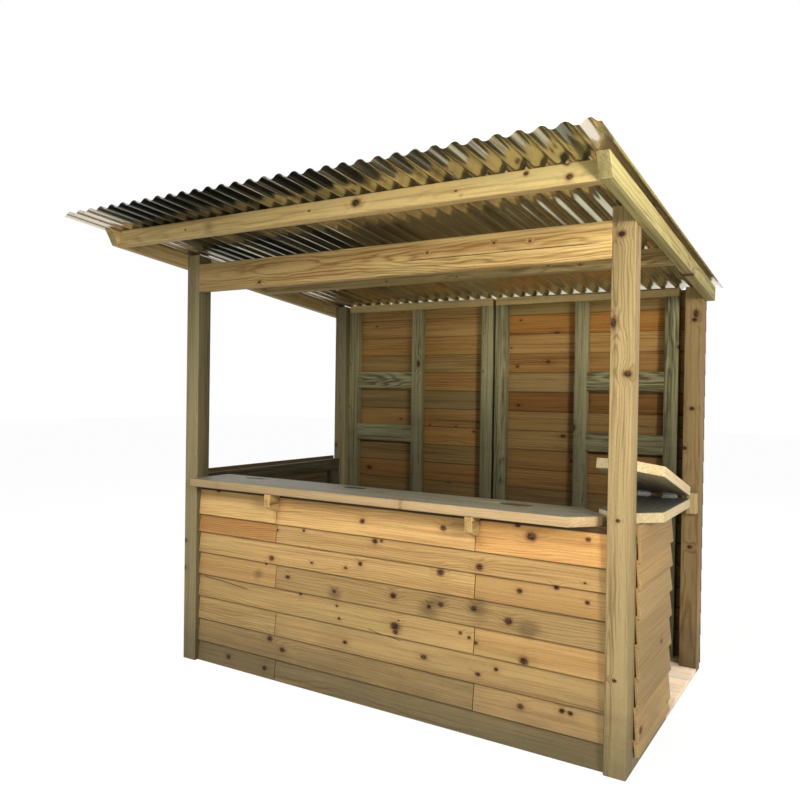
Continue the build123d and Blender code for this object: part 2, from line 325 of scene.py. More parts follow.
@dataclass(frozen=True)
class PineFinish:
    """Sawn and pressure-treated pine, darker and greyer towards its foot: splashed dirt, and
    painted shade low inside the bar.
    """

    name: str
    early: Triple
    late: Triple
    warm: Triple = (1.10, 0.78, 0.50)
    cool: Triple = (0.72, 0.84, 0.84)
    weathered: Triple = (0.135, 0.135, 0.100)
    rim: Triple = (0.190, 0.072, 0.022)
    core: Triple = (0.015, 0.007, 0.004)
    knot_share: float = 0.26
    ring: float = 0.011
    contrast: float = 1.0
    roughness: float = 0.66
    low_dirt_and_shade: Pair = (0.0, 0.42)
    low_dirt_and_shade_loss: float = 0.28
    knots: tuple[Knot, ...] = ()
    shakes: tuple[Shake, ...] = ()
    stains: tuple[Knot, ...] = ()
    spills: tuple[Knot, ...] = ()

    def placed(self, shader: Shader, spots: tuple[Knot, ...], flat: bool) -> Term | None:
        """Distance to the nearest of the placed spots, in their sizes.

        Args:
            shader: The material's nodes.
            spots: The spots.
            flat: Whether they lie on a level top, with the second number along Y.

        Returns:
            The distance, or nothing where there are no spots.
        """
        nearest: Term | None = None
        deep = any(spot.y is not None for spot in spots)
        scale = (0.4, 1.0, 0.0) if flat else (0.8, 0.8 * deep, 1.0)
        place = shader.stretch(shader.object_place(), scale)
        for spot in spots:
            y = spot.z if flat else spot.y or 0.0
            values = {0: place, 1: (scale[0] * spot.x, scale[1] * y, scale[2] * spot.z)}
            gap = shader.node("ShaderNodeVectorMath", {"operation": "DISTANCE"}, values)
            here = Term(shader, gap.outputs["Value"]) / spot.size
            nearest = here if nearest is None else nearest.least(here)
        return nearest

    def cracks(self, shader: Shader, sway: Term) -> Term | None:
        """A mask of the drying cracks: near the line between a shake's ends, thinning to them.

        Args:
            shader: The material's nodes.
            sway: The wood's slow sway, which the cracks follow.

        Returns:
            The mask, or nothing where there are no cracks.
        """
        mask: Term | None = None
        x, _, z = shader.parts(shader.object_place())
        for shake in self.shakes:
            (x0, z0), (x1, z1) = shake.start, shake.end
            along = (x - x0) / (x1 - x0)
            off = z - z0 - along * (z1 - z0) + (sway - 0.5) * 0.03
            inside = along.band(0.0, 0.12) * along.band(1.0, 0.88)
            line = (off / shake.width) ** 2
            here = line.band(1.0, 0.1) * inside
            mask = here if mask is None else mask + here
        return mask

    def build(self) -> bpy.types.Material:
        """Growth rings round each member's pith, streaks along it, knots that bend the rings.

        A ring's phase is the distance from the pith, plus a little of the place along the grain
        and a slow sway, over the ring width. Chance knots come from cells in the plane of the
        face, a share of which hold one, and the placed knots are joined to them.

        Returns:
            The material.
        """
        shader = Shader(self.name)
        shader.surface.inputs["Specular IOR Level"].default_value = 0.2
        grain = shader.attribute("grain")
        warmth, bright, weather = shader.parts(shader.attribute("board"))
        end_grain, _, _ = shader.parts(shader.attribute("end_grain"))
        _, _, height = shader.parts(shader.object_place())

        cells = {"Vector": shader.stretch(grain, (4.2, 7.0, 0.0)), "Scale": 1.0}
        cell = shader.node("ShaderNodeTexVoronoi", {"voronoi_dimensions": "2D"}, cells)
        chance, size, _ = shader.parts(cell.outputs["Color"])
        empty = chance.band(self.knot_share - 0.001, self.knot_share + 0.001)
        near = Term(shader, cell.outputs["Distance"]) / (size * size * 0.06 + 0.022) + empty * 20.0
        placed = self.placed(shader, self.knots, False)
        if placed is not None:
            near = near.least(placed)
        wobble = shader.noise(grain, (50.0, 80.0, 80.0))
        near = near + (wobble - 0.5) * 0.8
        halo = near.band(5.0, 0.9)
        core = near.band(1.1, 0.8) * (wobble.band(0.42, 0.56) * 0.35 + 0.65)
        rim = near.band(1.9, 0.9)

        sway = shader.noise(grain, (1.3, 5.0, 5.0), 3.0)
        along, _, _ = shader.parts(grain)
        across = shader.length(shader.stretch(grain, (0.0, 1.0, 1.0)))
        veins = shader.noise(grain, (0.8, 55.0, 55.0), 3.0)
        bent = across + along * 0.02 + (sway - 0.5) * 0.10 + halo * 0.012
        phase = bent / self.ring + veins * 1.4
        fade = shader.noise(grain, (0.7, 9.0, 9.0)).band(0.35, 0.65)
        rings = ((phase * (2 * math.pi)).sine() * 0.5 + 0.5) ** 2.2 * (fade * 0.8 + 0.2)
        broad = shader.noise(grain, (0.5, 14.0, 14.0), 4.0)
        fine = shader.noise(grain, (2.2, 95.0, 95.0), 3.0)
        fibre = shader.noise(grain, (14.0, 900.0, 900.0), 1.0)
        figure = rings * 0.5 + veins.band(0.55, 0.75) * 0.35 + (broad - 0.5) * 1.7
        dark = (figure + (fine - 0.5) * 1.35) * self.contrast + halo * 0.2 + 0.14
        colour = shader.mixed(dark, self.early, self.late)
        patch = shader.noise(grain, (0.8, 5.0, 5.0), 3.0).band(0.5, 0.75)
        for share, tint in ((warmth, self.warm), (patch * 0.6 - warmth, self.cool)):
            colour = shader.mixed(share, colour, shader.mixed(1.0, colour, tint, "MULTIPLY"))

        # Darker and greyer towards the foot: splashed dirt, and on the studs low inside the bar
        # painted shade.
        splash = shader.noise(shader.object_place(), (4.0, 4.0, 12.0), 3.0)
        low_dirt_and_shade = (height + (splash - 0.5) * 0.35).band(self.low_dirt_and_shade[1], self.low_dirt_and_shade[0])
        worn = shader.noise(grain, (1.4, 30.0, 30.0), 4.0)
        light_grey = tuple(1.5 * c for c in self.weathered)
        grey = shader.mixed(worn.band(0.3, 0.75), self.weathered, light_grey)
        grey = shader.mixed(dark * 0.5, grey, tuple(0.5 * c for c in self.weathered))
        speck = shader.noise(grain, (70.0, 110.0, 110.0), 2.0).band(0.56, 0.68)
        greyed = (weather + low_dirt_and_shade * 0.3) * worn.band(0.15, 0.45)
        colour = shader.mixed(greyed, colour, grey)
        colour = shader.mixed(rim * 0.75, colour, self.rim)
        colour = shader.mixed(core * 0.96, colour, self.core)
        cracks = self.cracks(shader, sway)
        if cracks is not None:
            colour = shader.mixed(cracks * 0.85, colour, (0.04, 0.022, 0.010))
        rough = self.roughness + (fine - 0.5) * 0.2 - core * 0.15
        level = (broad - 0.5) * 0.22 + (fibre - 0.5) * 0.16 + 1.0
        level = bright * level * (1.0 - end_grain * 0.25) * (1.0 - low_dirt_and_shade * self.low_dirt_and_shade_loss)
        level = level * (1.0 - speck * (weather * 0.3 + 0.08))
        stains = self.placed(shader, self.stains, False)
        if stains is not None:
            level = level * (1.0 - (stains + (splash - 0.5) * 2.6).band(1.1, 0.2) * 0.42)
        spills = self.placed(shader, self.spills, True)
        if spills is not None:
            wet = (spills + (wobble - 0.5) * 0.6).band(1.0, 0.85)
            level = level * (1.0 - wet * 0.6)
            rough = rough - wet * 0.42
        colour = shader.mixed(1.0, colour, shader.grey(level), "MULTIPLY")
        shader.feed(shader.surface.inputs["Base Color"], colour)
        shader.feed(shader.surface.inputs["Roughness"], rough)
        shader.raise_by(rings * -0.35 + fibre * 0.4 + fine * 0.3 - rim * 0.6, 0.0012, 0.55)
        return shader.material


@dataclass(frozen=True)
class SheetFinish:
    """Galvanised corrugated steel, dulled and stained on its underside, with painted reflection,
    shade and glints there.
    """

    name: str = "galvanised_sheet"
    roof_width: float = 2.6
    corrugations: int = 34
    zinc: Triple = (0.40, 0.41, 0.41)
    stain_and_reflection: Triple = (0.58, 0.54, 0.36)
    dull: Triple = (0.075, 0.080, 0.062)
    crest_shade: Triple = (0.022, 0.024, 0.020)
    glint_colour: Triple = (0.85, 0.76, 0.62)

    def build(self) -> bpy.types.Material:
        """Zinc crystals from cells, streaks down the slope, and below dull stains, painted
        reflection, painted shade and painted glints.

        The sheet attribute holds the share of the slope, the place across and 1 on the underside.
        The painted shade lies in the crests near the front edge. The height within a corrugation is
        half less half the sine of its phase moved on by a quarter turn.

        Returns:
            The material.
        """
        shader = Shader(self.name)
        sheet = shader.attribute("sheet")
        slope, across, under = shader.parts(sheet)
        cell = shader.node(
            "ShaderNodeTexVoronoi", {}, {"Vector": shader.object_place(), "Scale": 85.0}
        )
        crystal, _, _ = shader.parts(cell.outputs["Color"])
        streak = shader.noise(sheet, (0.7, 26.0, 0.0), 3.0)
        cloud = shader.noise(sheet, (2.2, 3.0, 0.0), 3.0)
        top = shader.mixed(crystal * 0.35, self.zinc, tuple(0.72 * c for c in self.zinc))
        top = shader.mixed(streak.band(0.45, 0.8) * 0.45, top, (0.30, 0.28, 0.24))
        # Lighter to the right and towards the back: streaky stains under a painted reflection.
        light = (streak - 0.5) * 1.4 + (cloud - 0.5) * 1.0 + across.band(-0.9, 0.6) * 0.5
        light = light + slope.band(0.03, 0.14) * 0.2 + slope.band(0.5, 0.9) * 0.35
        low = shader.mixed(light.band(0.15, 0.75), self.dull, self.stain_and_reflection)
        pitch = self.roof_width / self.corrugations
        turns = (across + self.roof_width / 2) / pitch * (2 * math.pi) + math.pi / 2
        crest = 0.5 - turns.sine() * 0.5
        # Painted shade in the crests near the front edge.
        reach = slope + (streak - 0.5) * 0.08
        slot_shade = crest.band(0.28, 0.45) * reach.band(0.095, 0.075) * across.band(0.75, 0.1)
        low = shader.mixed(slot_shade * 0.95, low, self.crest_shade)
        # Painted glints: pale bands in the crests and along both side edges.
        glint = shader.noise(sheet, (0.0, 11.0, 0.0), 2.0).band(0.62, 0.68)
        glint = glint * crest.band(0.3, 0.5) + across.band(-1.02, -1.12)
        glint = glint + across.band(1.215, 1.235) * across.band(1.290, 1.284) * 1.3
        low = shader.mixed(glint * 0.8, low, self.glint_colour)
        colour = shader.mixed(under, top, low)
        shader.feed(shader.surface.inputs["Base Color"], colour)
        shader.feed(shader.surface.inputs["Metallic"], 0.95 - under * 0.05)
        rough = 0.40 + crystal * 0.10 * (1.0 - under) - under * 0.23
        shader.feed(shader.surface.inputs["Roughness"], rough)
        shader.raise_by((cloud + streak * 0.5) * (1.0 - under * 0.7), 0.0004, 0.2)
        return shader.material


@dataclass(frozen=True)
class SteelFinish:
    """Plated steel of hinges, screws and nails."""

    name: str
    colour: Triple
    worn: Triple
    roughness: float

    def build(self) -> bpy.types.Material:
        """Plating with a fine cloud of wear that dulls it.

        Returns:
            The material.
        """
        shader = Shader(self.name)
        cloud = shader.noise(shader.object_place(), (160.0, 160.0, 160.0), 3.0)
        colour = shader.mixed(cloud.band(0.42, 0.66), self.colour, self.worn)
        shader.feed(shader.surface.inputs["Base Color"], colour)
        shader.surface.inputs["Metallic"].default_value = 0.85
        shader.feed(shader.surface.inputs["Roughness"], self.roughness + (cloud - 0.5) * 0.3)
        shader.raise_by(cloud, 0.0002, 0.3)
        return shader.material


# Shapes


def unit(vector: Any) -> Array:
    """The vector scaled to length 1."""
    vector = np.asarray(vector, float)
    return vector / np.linalg.norm(vector)


def rounded(width: float, height: float, ease: float, steps: int = 2) -> Array:
    """A rectangle's outline with quarter-circle corners, anticlockwise round its middle.

    Each corner point is the corner's centre plus the ease times (cos a, sin a).

    Args:
        width: Size along the first direction.
        height: Size along the second.
        ease: Corner radius.
        steps: Faces to a corner.

    Returns:
        The outline, one row a point.
    """
    quarter = np.linspace(0.0, math.pi / 2, steps + 1)
    signs = np.array([[1, 1], [-1, 1], [-1, -1], [1, -1]], float)
    centres = signs * [width / 2 - ease, height / 2 - ease]
    angles = quarter[None, :] + (np.arange(4) * math.pi / 2)[:, None]
    arcs = np.stack([np.cos(angles), np.sin(angles)], -1) * ease
    return (centres[:, None, :] + arcs).reshape(-1, 2)


def eased(corners: Array, ease: float) -> Array:
    """An outline whose corners are cut by a short slant, each a given way along both its sides.

    Args:
        corners: The sharp outline, anticlockwise.
        ease: Distance from the corner at which each slant starts.

    Returns:
        The outline with two points for each corner.
    """
    corners = np.asarray(corners, float)
    cuts = []
    for way in (1, -1):
        side = np.roll(corners, way, 0) - corners
        size = np.linalg.norm(side, axis=1)[:, None]
        cuts.append(corners + side / size * np.minimum(ease, size / 3))
    return np.stack(cuts, 1).reshape(-1, 2)


def joined(rings: Array) -> Array:
    """Quads between rings of point numbers, each ring's last point being next to its first.

    Args:
        rings: The numbers, one row a ring.

    Returns:
        The quads, in rows of four.
    """
    turned = np.roll(rings, -1, 1)
    return np.stack([rings[:-1], turned[:-1], turned[1:], rings[1:]], -1).reshape(-1, 4)


def tube_faces(rows: int, columns: int) -> list[list[int]]:
    """Faces of rings joined one to the next, with the first and the last ring closed.

    Args:
        rows: Number of rings.
        columns: Points to a ring.

    Returns:
        The quads between the rings, then the first end and the last.
    """
    rings = np.arange(rows * columns).reshape(rows, columns)
    return joined(rings).tolist() + [rings[0, ::-1].tolist(), rings[-1].tolist()]


def new_mesh(name: str, points: Array, faces: list[list[int]]) -> bpy.types.Mesh:
    """Makes a mesh.

    Args:
        name: Its name.
        points: Its points, in rows of three or of more such rows.
        faces: Its faces, by the points' numbers.

    Returns:
        The mesh.
    """
    data = bpy.data.meshes.new(name)
    data.from_pydata(points.reshape(-1, 3).tolist(), [], faces)
    return data


def lay(data: bpy.types.Mesh, name: str, values: Array, domain: str = "POINT") -> None:
    """Lays a vector attribute over a mesh.

    Args:
        data: The mesh.
        name: The attribute's name.
        values: One vector a point or a face.
        domain: POINT or FACE.
    """
    attribute = data.attributes.new(name, "FLOAT_VECTOR", domain)
    attribute.data.foreach_set("vector", values.ravel())


class Stock:
    """Points, faces and grain of one or more members that become one mesh."""

    def __init__(self, seed: int) -> None:
        """Starts empty, with its own chance.

        Args:
            seed: Seed of the chance.
        """
        self.chance = np.random.default_rng(seed)
        self.points: list[Array] = []
        self.grain: list[Array] = []
        self.board: list[Array] = []
        self.faces: list[list[int]] = []
        self.ends: list[float] = []
        self.count = 0

    def add(self, points: Array, grain: Array, faces: list[list[int]], ends: list[float],
            board: Triple) -> None:
        """Adds one member.

        Args:
            points: Its points.
            grain: Each point's place along, across and through the wood.
            faces: Its faces, by its own points' numbers.
            ends: 1 for each face that is end grain, otherwise 0.
            board: Its warmth, brightness and weathering.
        """
        self.faces += [[index + self.count for index in face] for face in faces]
        self.ends += ends
        self.points.append(points)
        self.grain.append(grain)
        self.board.append(np.tile(board, (len(points), 1)))
        self.count += len(points)

    def heart(self) -> Array:
        """Where a member was cut in its log: a shift of its section from the pith.

        Returns:
            A shift along the wood, across its wider side and through it, in metres.
        """
        deep = self.chance.uniform(0.03, 0.10) * self.chance.choice([-1, 1])
        return np.array([self.chance.uniform(0, 60), self.chance.uniform(-0.04, 0.04), deep])

    def carry(self, section: Array, start: Array, end: Array, across: Array, board: Triple,
              start_cut: Array | None = None, end_cut: Array | None = None, ease: float = 0.002,
              bow: float = 0.0005, shade: Array | None = None, fade: Pair = (1.0, 1.0),
              cap: float = 1.0) -> None:
        """Carries a section along a nearly straight line, with eased and squared or slanted ends.

        A point is the line's place plus the section's two sizes along across and through, where
        through is the run crossed with across. At an end the section is drawn in by the ease, and
        each point slides along the run to the cut's plane. The bow is a slow sine along the run.

        Args:
            section: Outline, anticlockwise seen against the run.
            start: Where the run starts.
            end: Where it ends.
            across: Direction of the section's first size.
            board: Warmth, brightness and weathering.
            start_cut: Normal of the plane at the start, square to the run if left out.
            end_cut: Normal of the plane at the end.
            ease: Easing of the end's arrises.
            bow: Height of the bow.
            shade: Brightness of each of the section's points, which paints shade on faces and in
                laps.
            fade: Brightness at the start and at the end, which paints light falling off along the
                run.
            cap: Brightness of the ends' own faces.
        """
        start, end, across = (np.asarray(v, float) for v in (start, end, across))
        run = unit(end - start)
        through = np.cross(run, across)
        length = float(np.linalg.norm(end - start))
        spans = max(3, int(length / RING_STEP))
        places = np.concatenate([[0.0], np.linspace(ease, length - ease, spans + 1), [length]])
        middle = section.mean(0)
        reach = np.abs(section - middle).max(0)
        inset = np.tile(section[None], (len(places), 1, 1))
        drawn_in = middle + (section - middle) * (1 - ease / reach)
        inset[0] = inset[-1] = drawn_in
        slide = np.zeros((len(places), len(section)))
        share = (places / length)[:, None]
        for cut, weight in ((start_cut, 1 - share), (end_cut, share)):
            if cut is not None:
                normal = np.asarray(cut, float)
                tilt = -(section @ np.array([across @ normal, through @ normal])) / (run @ normal)
                slide += weight * tilt[None]
        phase, lean = self.chance.uniform(0, 6.28), self.chance.uniform(0.5, 1.0)
        wave = bow * lean * np.sin(places / max(length, 0.6) * math.pi * 1.7 + phase)
        along = places[:, None] + slide
        points = (
            start
            + along[..., None] * run
            + inset[..., :1] * across
            + (inset[..., 1:] + wave[:, None, None]) * through
        )
        wide = np.ptp(section, axis=0)
        ordered = inset if wide[0] >= wide[1] else inset[..., ::-1]
        grain = np.concatenate([along[..., None], ordered], -1) + self.heart()
        faces = tube_faces(len(places), len(section))
        cut_ends = [0.0] * (len(faces) - 2) + [1.0, 1.0]
        self.add(points.reshape(-1, 3), grain.reshape(-1, 3), faces, cut_ends, board)
        # Painted light along the run, painted shade round the section, and the ends' own
        # brightness.
        level = np.interp(places / length, (0.0, 1.0), fade)[:, None]
        level = level * (np.ones(len(section)) if shade is None else shade)
        level[[0, -1]] = np.array(fade)[:, None] * cap
        self.board[-1][:, 1] *= level.reshape(-1)

    def slab(self, plan: Array, level: Pair, along: Array, ease: float, top: Triple,
             turn: Any = None, flats: Pair = (1.0, 1.0), edges: Pair = (1.0, 1.0)) -> None:
        """A flat board of any convex plan with rounded arrises.

        The plan is drawn towards its middle by ease times (1 - sin a) at height ease times
        (1 - cos a) below the top for the upper arris, and the other way up for the lower one.

        Args:
            plan: Corners in X and Y, anticlockwise from above.
            level: Heights of the underside and the top.
            along: Direction of the grain in the plan.
            ease: Radius of the arrises.
            top: Warmth, brightness and weathering of the top and underside.
            turn: A function that turns the finished points, or nothing.
            flats: Brightness of the top and underside at both ends of the grain.
            edges: Brightness of the edges there.
        """
        plan = eased(plan, SLAB_CORNER)
        sides = np.roll(plan, -1, 0) - plan
        outward = np.stack([sides[:, 1], -sides[:, 0]], 1)
        outward /= np.linalg.norm(outward, axis=1)[:, None]
        mitre = outward + np.roll(outward, 1, 0)
        mitre /= np.maximum((mitre * outward).sum(1), 0.2)[:, None]
        quarter = np.linspace(0, math.pi / 2, 4)
        low, high = level
        inward, upward = (1 - np.sin(quarter)) * ease, (1 - np.cos(quarter)) * ease
        drawn = np.concatenate([inward, inward[::-1]])
        rise = np.concatenate([low + upward, (high - upward)[::-1]])
        rings = plan[None] - mitre[None] * drawn[:, None, None]
        flat = np.concatenate(
            [rings, np.broadcast_to(rise[:, None, None], (*rings.shape[:2], 1))], -1
        )
        rows, columns = rings.shape[:2]
        sideways = np.array([-along[1], along[0]])
        place = np.stack([rings @ along[:2], rings @ sideways, flat[..., 2]], -1) + self.heart()
        faces = tube_faces(rows, columns)
        points = flat.reshape(-1, 3)
        if turn is not None:
            points = turn(points)
        first = len(self.board)
        self.add(points, place.reshape(-1, 3), faces, [0.0] * len(faces), top)
        worn = np.ones((rows, columns))
        worn[2:-2] = 0.0
        self.board[first][:, 2] *= worn.reshape(-1)
        run = (rings @ along[:2]).reshape(-1)
        flat_level, edge_level = (
            np.interp(run, (run.min(), run.max()), pair) for pair in (flats, edges))
        self.board[first][:, 1] *= np.where(worn.reshape(-1) > 0, flat_level, edge_level)

    def mesh(self, name: str, material: bpy.types.Material) -> bpy.types.Object:
        """Makes the object.

        Args:
            name: Its name.
            material: Its finish.

        Returns:
            The object, at the origin.
        """
        data = new_mesh(name, np.concatenate(self.points), self.faces)
        lay(data, "grain", np.concatenate(self.grain))
        lay(data, "board", np.concatenate(self.board))
        flags = np.zeros((len(self.ends), 3))
        flags[:, 0] = self.ends
        lay(data, "end_grain", flags, "FACE")
        return finished(name, data, material, WOOD_SHARP)


def finished(name: str, data: bpy.types.Mesh, material: bpy.types.Material,
             sharp: float) -> bpy.types.Object:
    """Links a mesh as an object, smooth but for the edges sharper than an angle.

    Args:
        name: The object's name.
        data: The mesh.
        material: Its finish.
        sharp: The angle in radians.

    Returns:
        The object, at the origin.
    """
    data.update()
    data.polygons.foreach_set("use_smooth", np.ones(len(data.polygons), bool))
    data.set_sharp_from_angle(angle=sharp)
    data.materials.append(material)
    piece = bpy.data.objects.new(name, data)
    bpy.context.scene.collection.objects.link(piece)
    return piece


def settle(piece: bpy.types.Object, body: Body, nodes: Sequence[str] = ()) -> None:
    """Hands a finished piece over.

    Args:
        piece: The piece.
        body: The body it rides on.
        nodes: The solids it stands for.
    """
    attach(piece, body.value)
    if nodes:
        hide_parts(*nodes)
    log.info("%s: %d faces", piece.name, len(piece.data.polygons))


def replace(node: str, stock: Stock, finish: bpy.types.Material,
            name: str = "", body: Body = Body.BAR) -> None:
    """Makes a stock's mesh and hands it over in place of a solid.

    Args:
        node: The solid.
        stock: The members.
        finish: Their finish.
        name: The piece's name, the solid's with timber after it if left out.
        body: The body it rides on.
    """
    settle(stock.mesh(name or f"{node}_timber", finish), body, [node])


def heads(name: str, centres: Array, outward: Array, radius: float, height: float,
          material: bpy.types.Material) -> bpy.types.Object:
    """Domed heads of nails or screws, all turned one way.

    A ring's point is the centre plus the ring's radius times (cos a, sin a) in the plane across
    the outward direction. The three rings have 1, 0.8 and 0.35 of the head's radius. The first is
    sunk a little, and the others stand at 0.6 of the dome's height and at its whole height.

    Args:
        name: The piece's name.
        centres: One row a head, on the surface.
        outward: The direction that the heads face.
        radius: Radius of a head.
        height: Height of the dome.
        material: Their finish.

    Returns:
        The object.
    """
    outward = unit(outward)
    aslant = np.array([0.31, 0.53, 0.79])
    first = unit(np.cross(outward, aslant))
    second = np.cross(outward, first)
    angles = np.arange(8) * math.pi / 4
    circle = np.cos(angles)[:, None] * first + np.sin(angles)[:, None] * second
    levels = ((1.0, -HEAD_SUNK), (0.8, height * 0.6), (0.35, height))
    rings = np.concatenate([circle * radius * wide + outward * up for wide, up in levels])
    offsets = range(0, len(rings) * len(centres), len(rings))
    faces = [[index + offset for index in face] for offset in offsets
             for face in tube_faces(len(levels), len(angles))]
    data = new_mesh(name, centres[:, None] + rings[None], faces)
    return finished(name, data, material, HEAD_SHARP)


# The bar


@dataclass(frozen=True)
class Finishes:
    """Every material of the bar, made once."""

    post: bpy.types.Material
    frame: bpy.types.Material
    studs: bpy.types.Material
    boards: bpy.types.Material
    floor: bpy.types.Material
    side_boards: bpy.types.Material
    back_boards: bpy.types.Material
    counter: bpy.types.Material
    sheet: bpy.types.Material
    hinge: bpy.types.Material
    nail: bpy.types.Material


def spots(*places: Triple, y: float | None = None) -> tuple[Knot, ...]:
    """Spots by their two places in metres, from the bar's middle, and their half widths in mm.

    Args:
        places: The two places and the half width of each.
        y: The face they lie on, or nothing for spots that run through.

    Returns:
        The spots.
    """
    return tuple(Knot(x, z, size / 1000, y) for x, z, size in places)


def make_finishes() -> Finishes:
    """Builds the bar's finishes.

    Returns:
        All of them.
    """
    front_knots = spots(
        (0.806, 0.895, 16), (1.047, 0.910, 8), (0.390, 0.886, 11), (-0.046, 0.872, 10),
        (0.024, 0.784, 11), (0.060, 0.789, 6), (-0.405, 0.787, 6), (-0.607, 0.624, 11),
        (-0.651, 0.588, 5), (-0.057, 0.667, 9), (0.377, 0.686, 13), (0.571, 0.737, 12),
        (0.758, 0.661, 9), (0.917, 0.698, 8), (1.049, 0.658, 7), (0.132, 0.544, 12),
        (-0.206, 0.514, 7), (0.711, 0.525, 13), (0.383, 0.543, 9), (0.324, 0.525, 8),
        (0.546, 0.552, 10), (0.143, 0.405, 15), (0.150, 0.380, 10), (-0.193, 0.444, 5),
        (-0.173, 0.387, 6), (-0.421, 0.466, 6), (0.482, 0.434, 6), (0.526, 0.422, 6),
        (-0.619, 0.206, 12), (0.784, 0.372, 14), (0.656, 0.309, 7), (0.770, 0.177, 10),
        (0.950, 0.200, 9), (0.985, 0.198, 8), (-0.905, 0.056, 10), (-0.648, 0.047, 10),
    )
    rail_knots = spots(
        (0.222, 2.245, 14), (1.102, 2.278, 9), (1.113, 2.228, 10), (0.953, 2.262, 7),
        (0.629, 2.124, 4), (0.791, 2.117, 4),
    )
    front, rear = ends("post_front_left", 1)[0], ends("post_rear_right", 1)[0]
    post_knots = spots(
        (1.200, 1.570, 12), (1.168, 2.110, 11), (1.172, 1.002, 6), (1.170, 0.380, 6),
        (-1.214, 0.651, 10), (-1.216, 0.500, 9), y=front,
    ) + spots((1.175, 0.675, 9), (1.174, 1.422, 9), (1.140, 1.207, 8), (1.180, 1.900, 10), y=rear)
    board_shakes = (Shake((-1.118, 0.462), (-0.757, 0.441), 0.0035),
                    Shake((-0.013, 0.372), (0.183, 0.340), 0.0025))
    frame_shakes = (Shake((0.10, 2.078), (1.12, 2.082), 0.0030),)
    spills = spots((-0.847, -0.234, 34), (-0.201, -0.219, 30), (0.686, -0.256, 34))
    front_stains = spots((0.340, 0.540, 70), (0.560, 0.545, 60), (-0.20, 0.500, 50),
                         (0.800, 0.500, 50), (-0.70, 0.530, 35), (0.160, 0.400, 40))
    rail_stains = spots((0.240, 2.245, 42), (0.700, 2.215, 18), (-0.60, 2.235, 40))
    return Finishes(
        post=PineFinish("post_pine", (0.54, 0.430, 0.215), (0.260, 0.180, 0.075), contrast=1.2,
                        knots=post_knots).build(),
        frame=PineFinish("frame_pine", (0.640, 0.475, 0.205), (0.270, 0.150, 0.048),
                         contrast=1.2, knots=rail_knots, shakes=frame_shakes,
                         stains=rail_stains).build(),
        # The studs darken steeply towards the floor: painted shade low inside the bar.
        studs=PineFinish("stud_pine", (0.50, 0.43, 0.225), (0.12, 0.092, 0.040),
                         weathered=(0.135, 0.138, 0.080), contrast=1.5, low_dirt_and_shade=(0.8, 1.9),
                         low_dirt_and_shade_loss=0.55).build(),
        boards=PineFinish("board_pine", (0.62, 0.400, 0.158), (0.29, 0.150, 0.050), contrast=0.85,
                          knots=front_knots, shakes=board_shakes, stains=front_stains).build(),
        # Pale colours, raised to paint sunlight on the doorway floor.
        floor=PineFinish("floor_pine", (0.97, 0.80, 0.62), (0.74, 0.57, 0.40), contrast=0.6,
                         low_dirt_and_shade=(-2.0, -1.0)).build(),
        side_boards=PineFinish("side_board_pine", (0.58, 0.385, 0.165), (0.33, 0.195, 0.075),
                               contrast=0.7, low_dirt_and_shade=(0.0, 0.3), low_dirt_and_shade_loss=0.15).build(),
        # Colours darkened as painted shade for the bar's inside; the back wall's outer brightness
        # lifts them outside.
        back_boards=PineFinish("back_board_pine", (0.38, 0.242, 0.082), (0.150, 0.078, 0.024),
                               contrast=1.1).build(),
        counter=PineFinish("counter_pine", (0.74, 0.585, 0.345), (0.42, 0.28, 0.130), contrast=0.65,
                           knot_share=0.4, weathered=(0.115, 0.115, 0.087),
                           roughness=0.5, spills=spills).build(),
        sheet=SheetFinish().build(),
        hinge=SteelFinish("hinge_plating", (0.72, 0.72, 0.70), (0.42, 0.41, 0.39), 0.32).build(),
        nail=SteelFinish("nail_plating", (0.20, 0.17, 0.13), (0.07, 0.05, 0.04), 0.55).build(),
    )


@dataclass
class Ground:
    """The roof's fall, and where the front posts' faces stand in the solids' frame."""

    pitch: float = math.radians(5.94)
    roof_height: float = 2.231
    face: float = 0.0

    def read(self) -> "Ground":
        """Takes the front posts' faces from the solids, and returns itself."""
        self.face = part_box("post_front_left")[0].y
        return self

    @property
    def roof_normal(self) -> Array:
        """Upwards, square to the roof."""
        return np.array([0.0, math.sin(self.pitch), math.cos(self.pitch)])

    @property
    def downhill(self) -> Array:
        """Down the roof, to the back."""
        return np.array([0.0, math.cos(self.pitch), -math.sin(self.pitch)])

    def roof_at(self, y: float) -> float:
        """Height of the rafters' tops at a place behind the front posts' faces."""
        return self.roof_height - y * math.tan(self.pitch)


def middle(node: str) -> Array:
    """The middle of a solid's box."""
    low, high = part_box(node)
    return (np.array(low) + np.array(high)) / 2


def extents(node: str) -> tuple[Pair, Pair, Pair]:
    """A solid's two ends along X, along Y and along Z."""
    low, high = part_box(node)
    return (low[0], high[0]), (low[1], high[1]), (low[2], high[2])


def ends(node: str, axis: int) -> Pair:
    """A solid's two ends along one axis."""
    return extents(node)[axis]


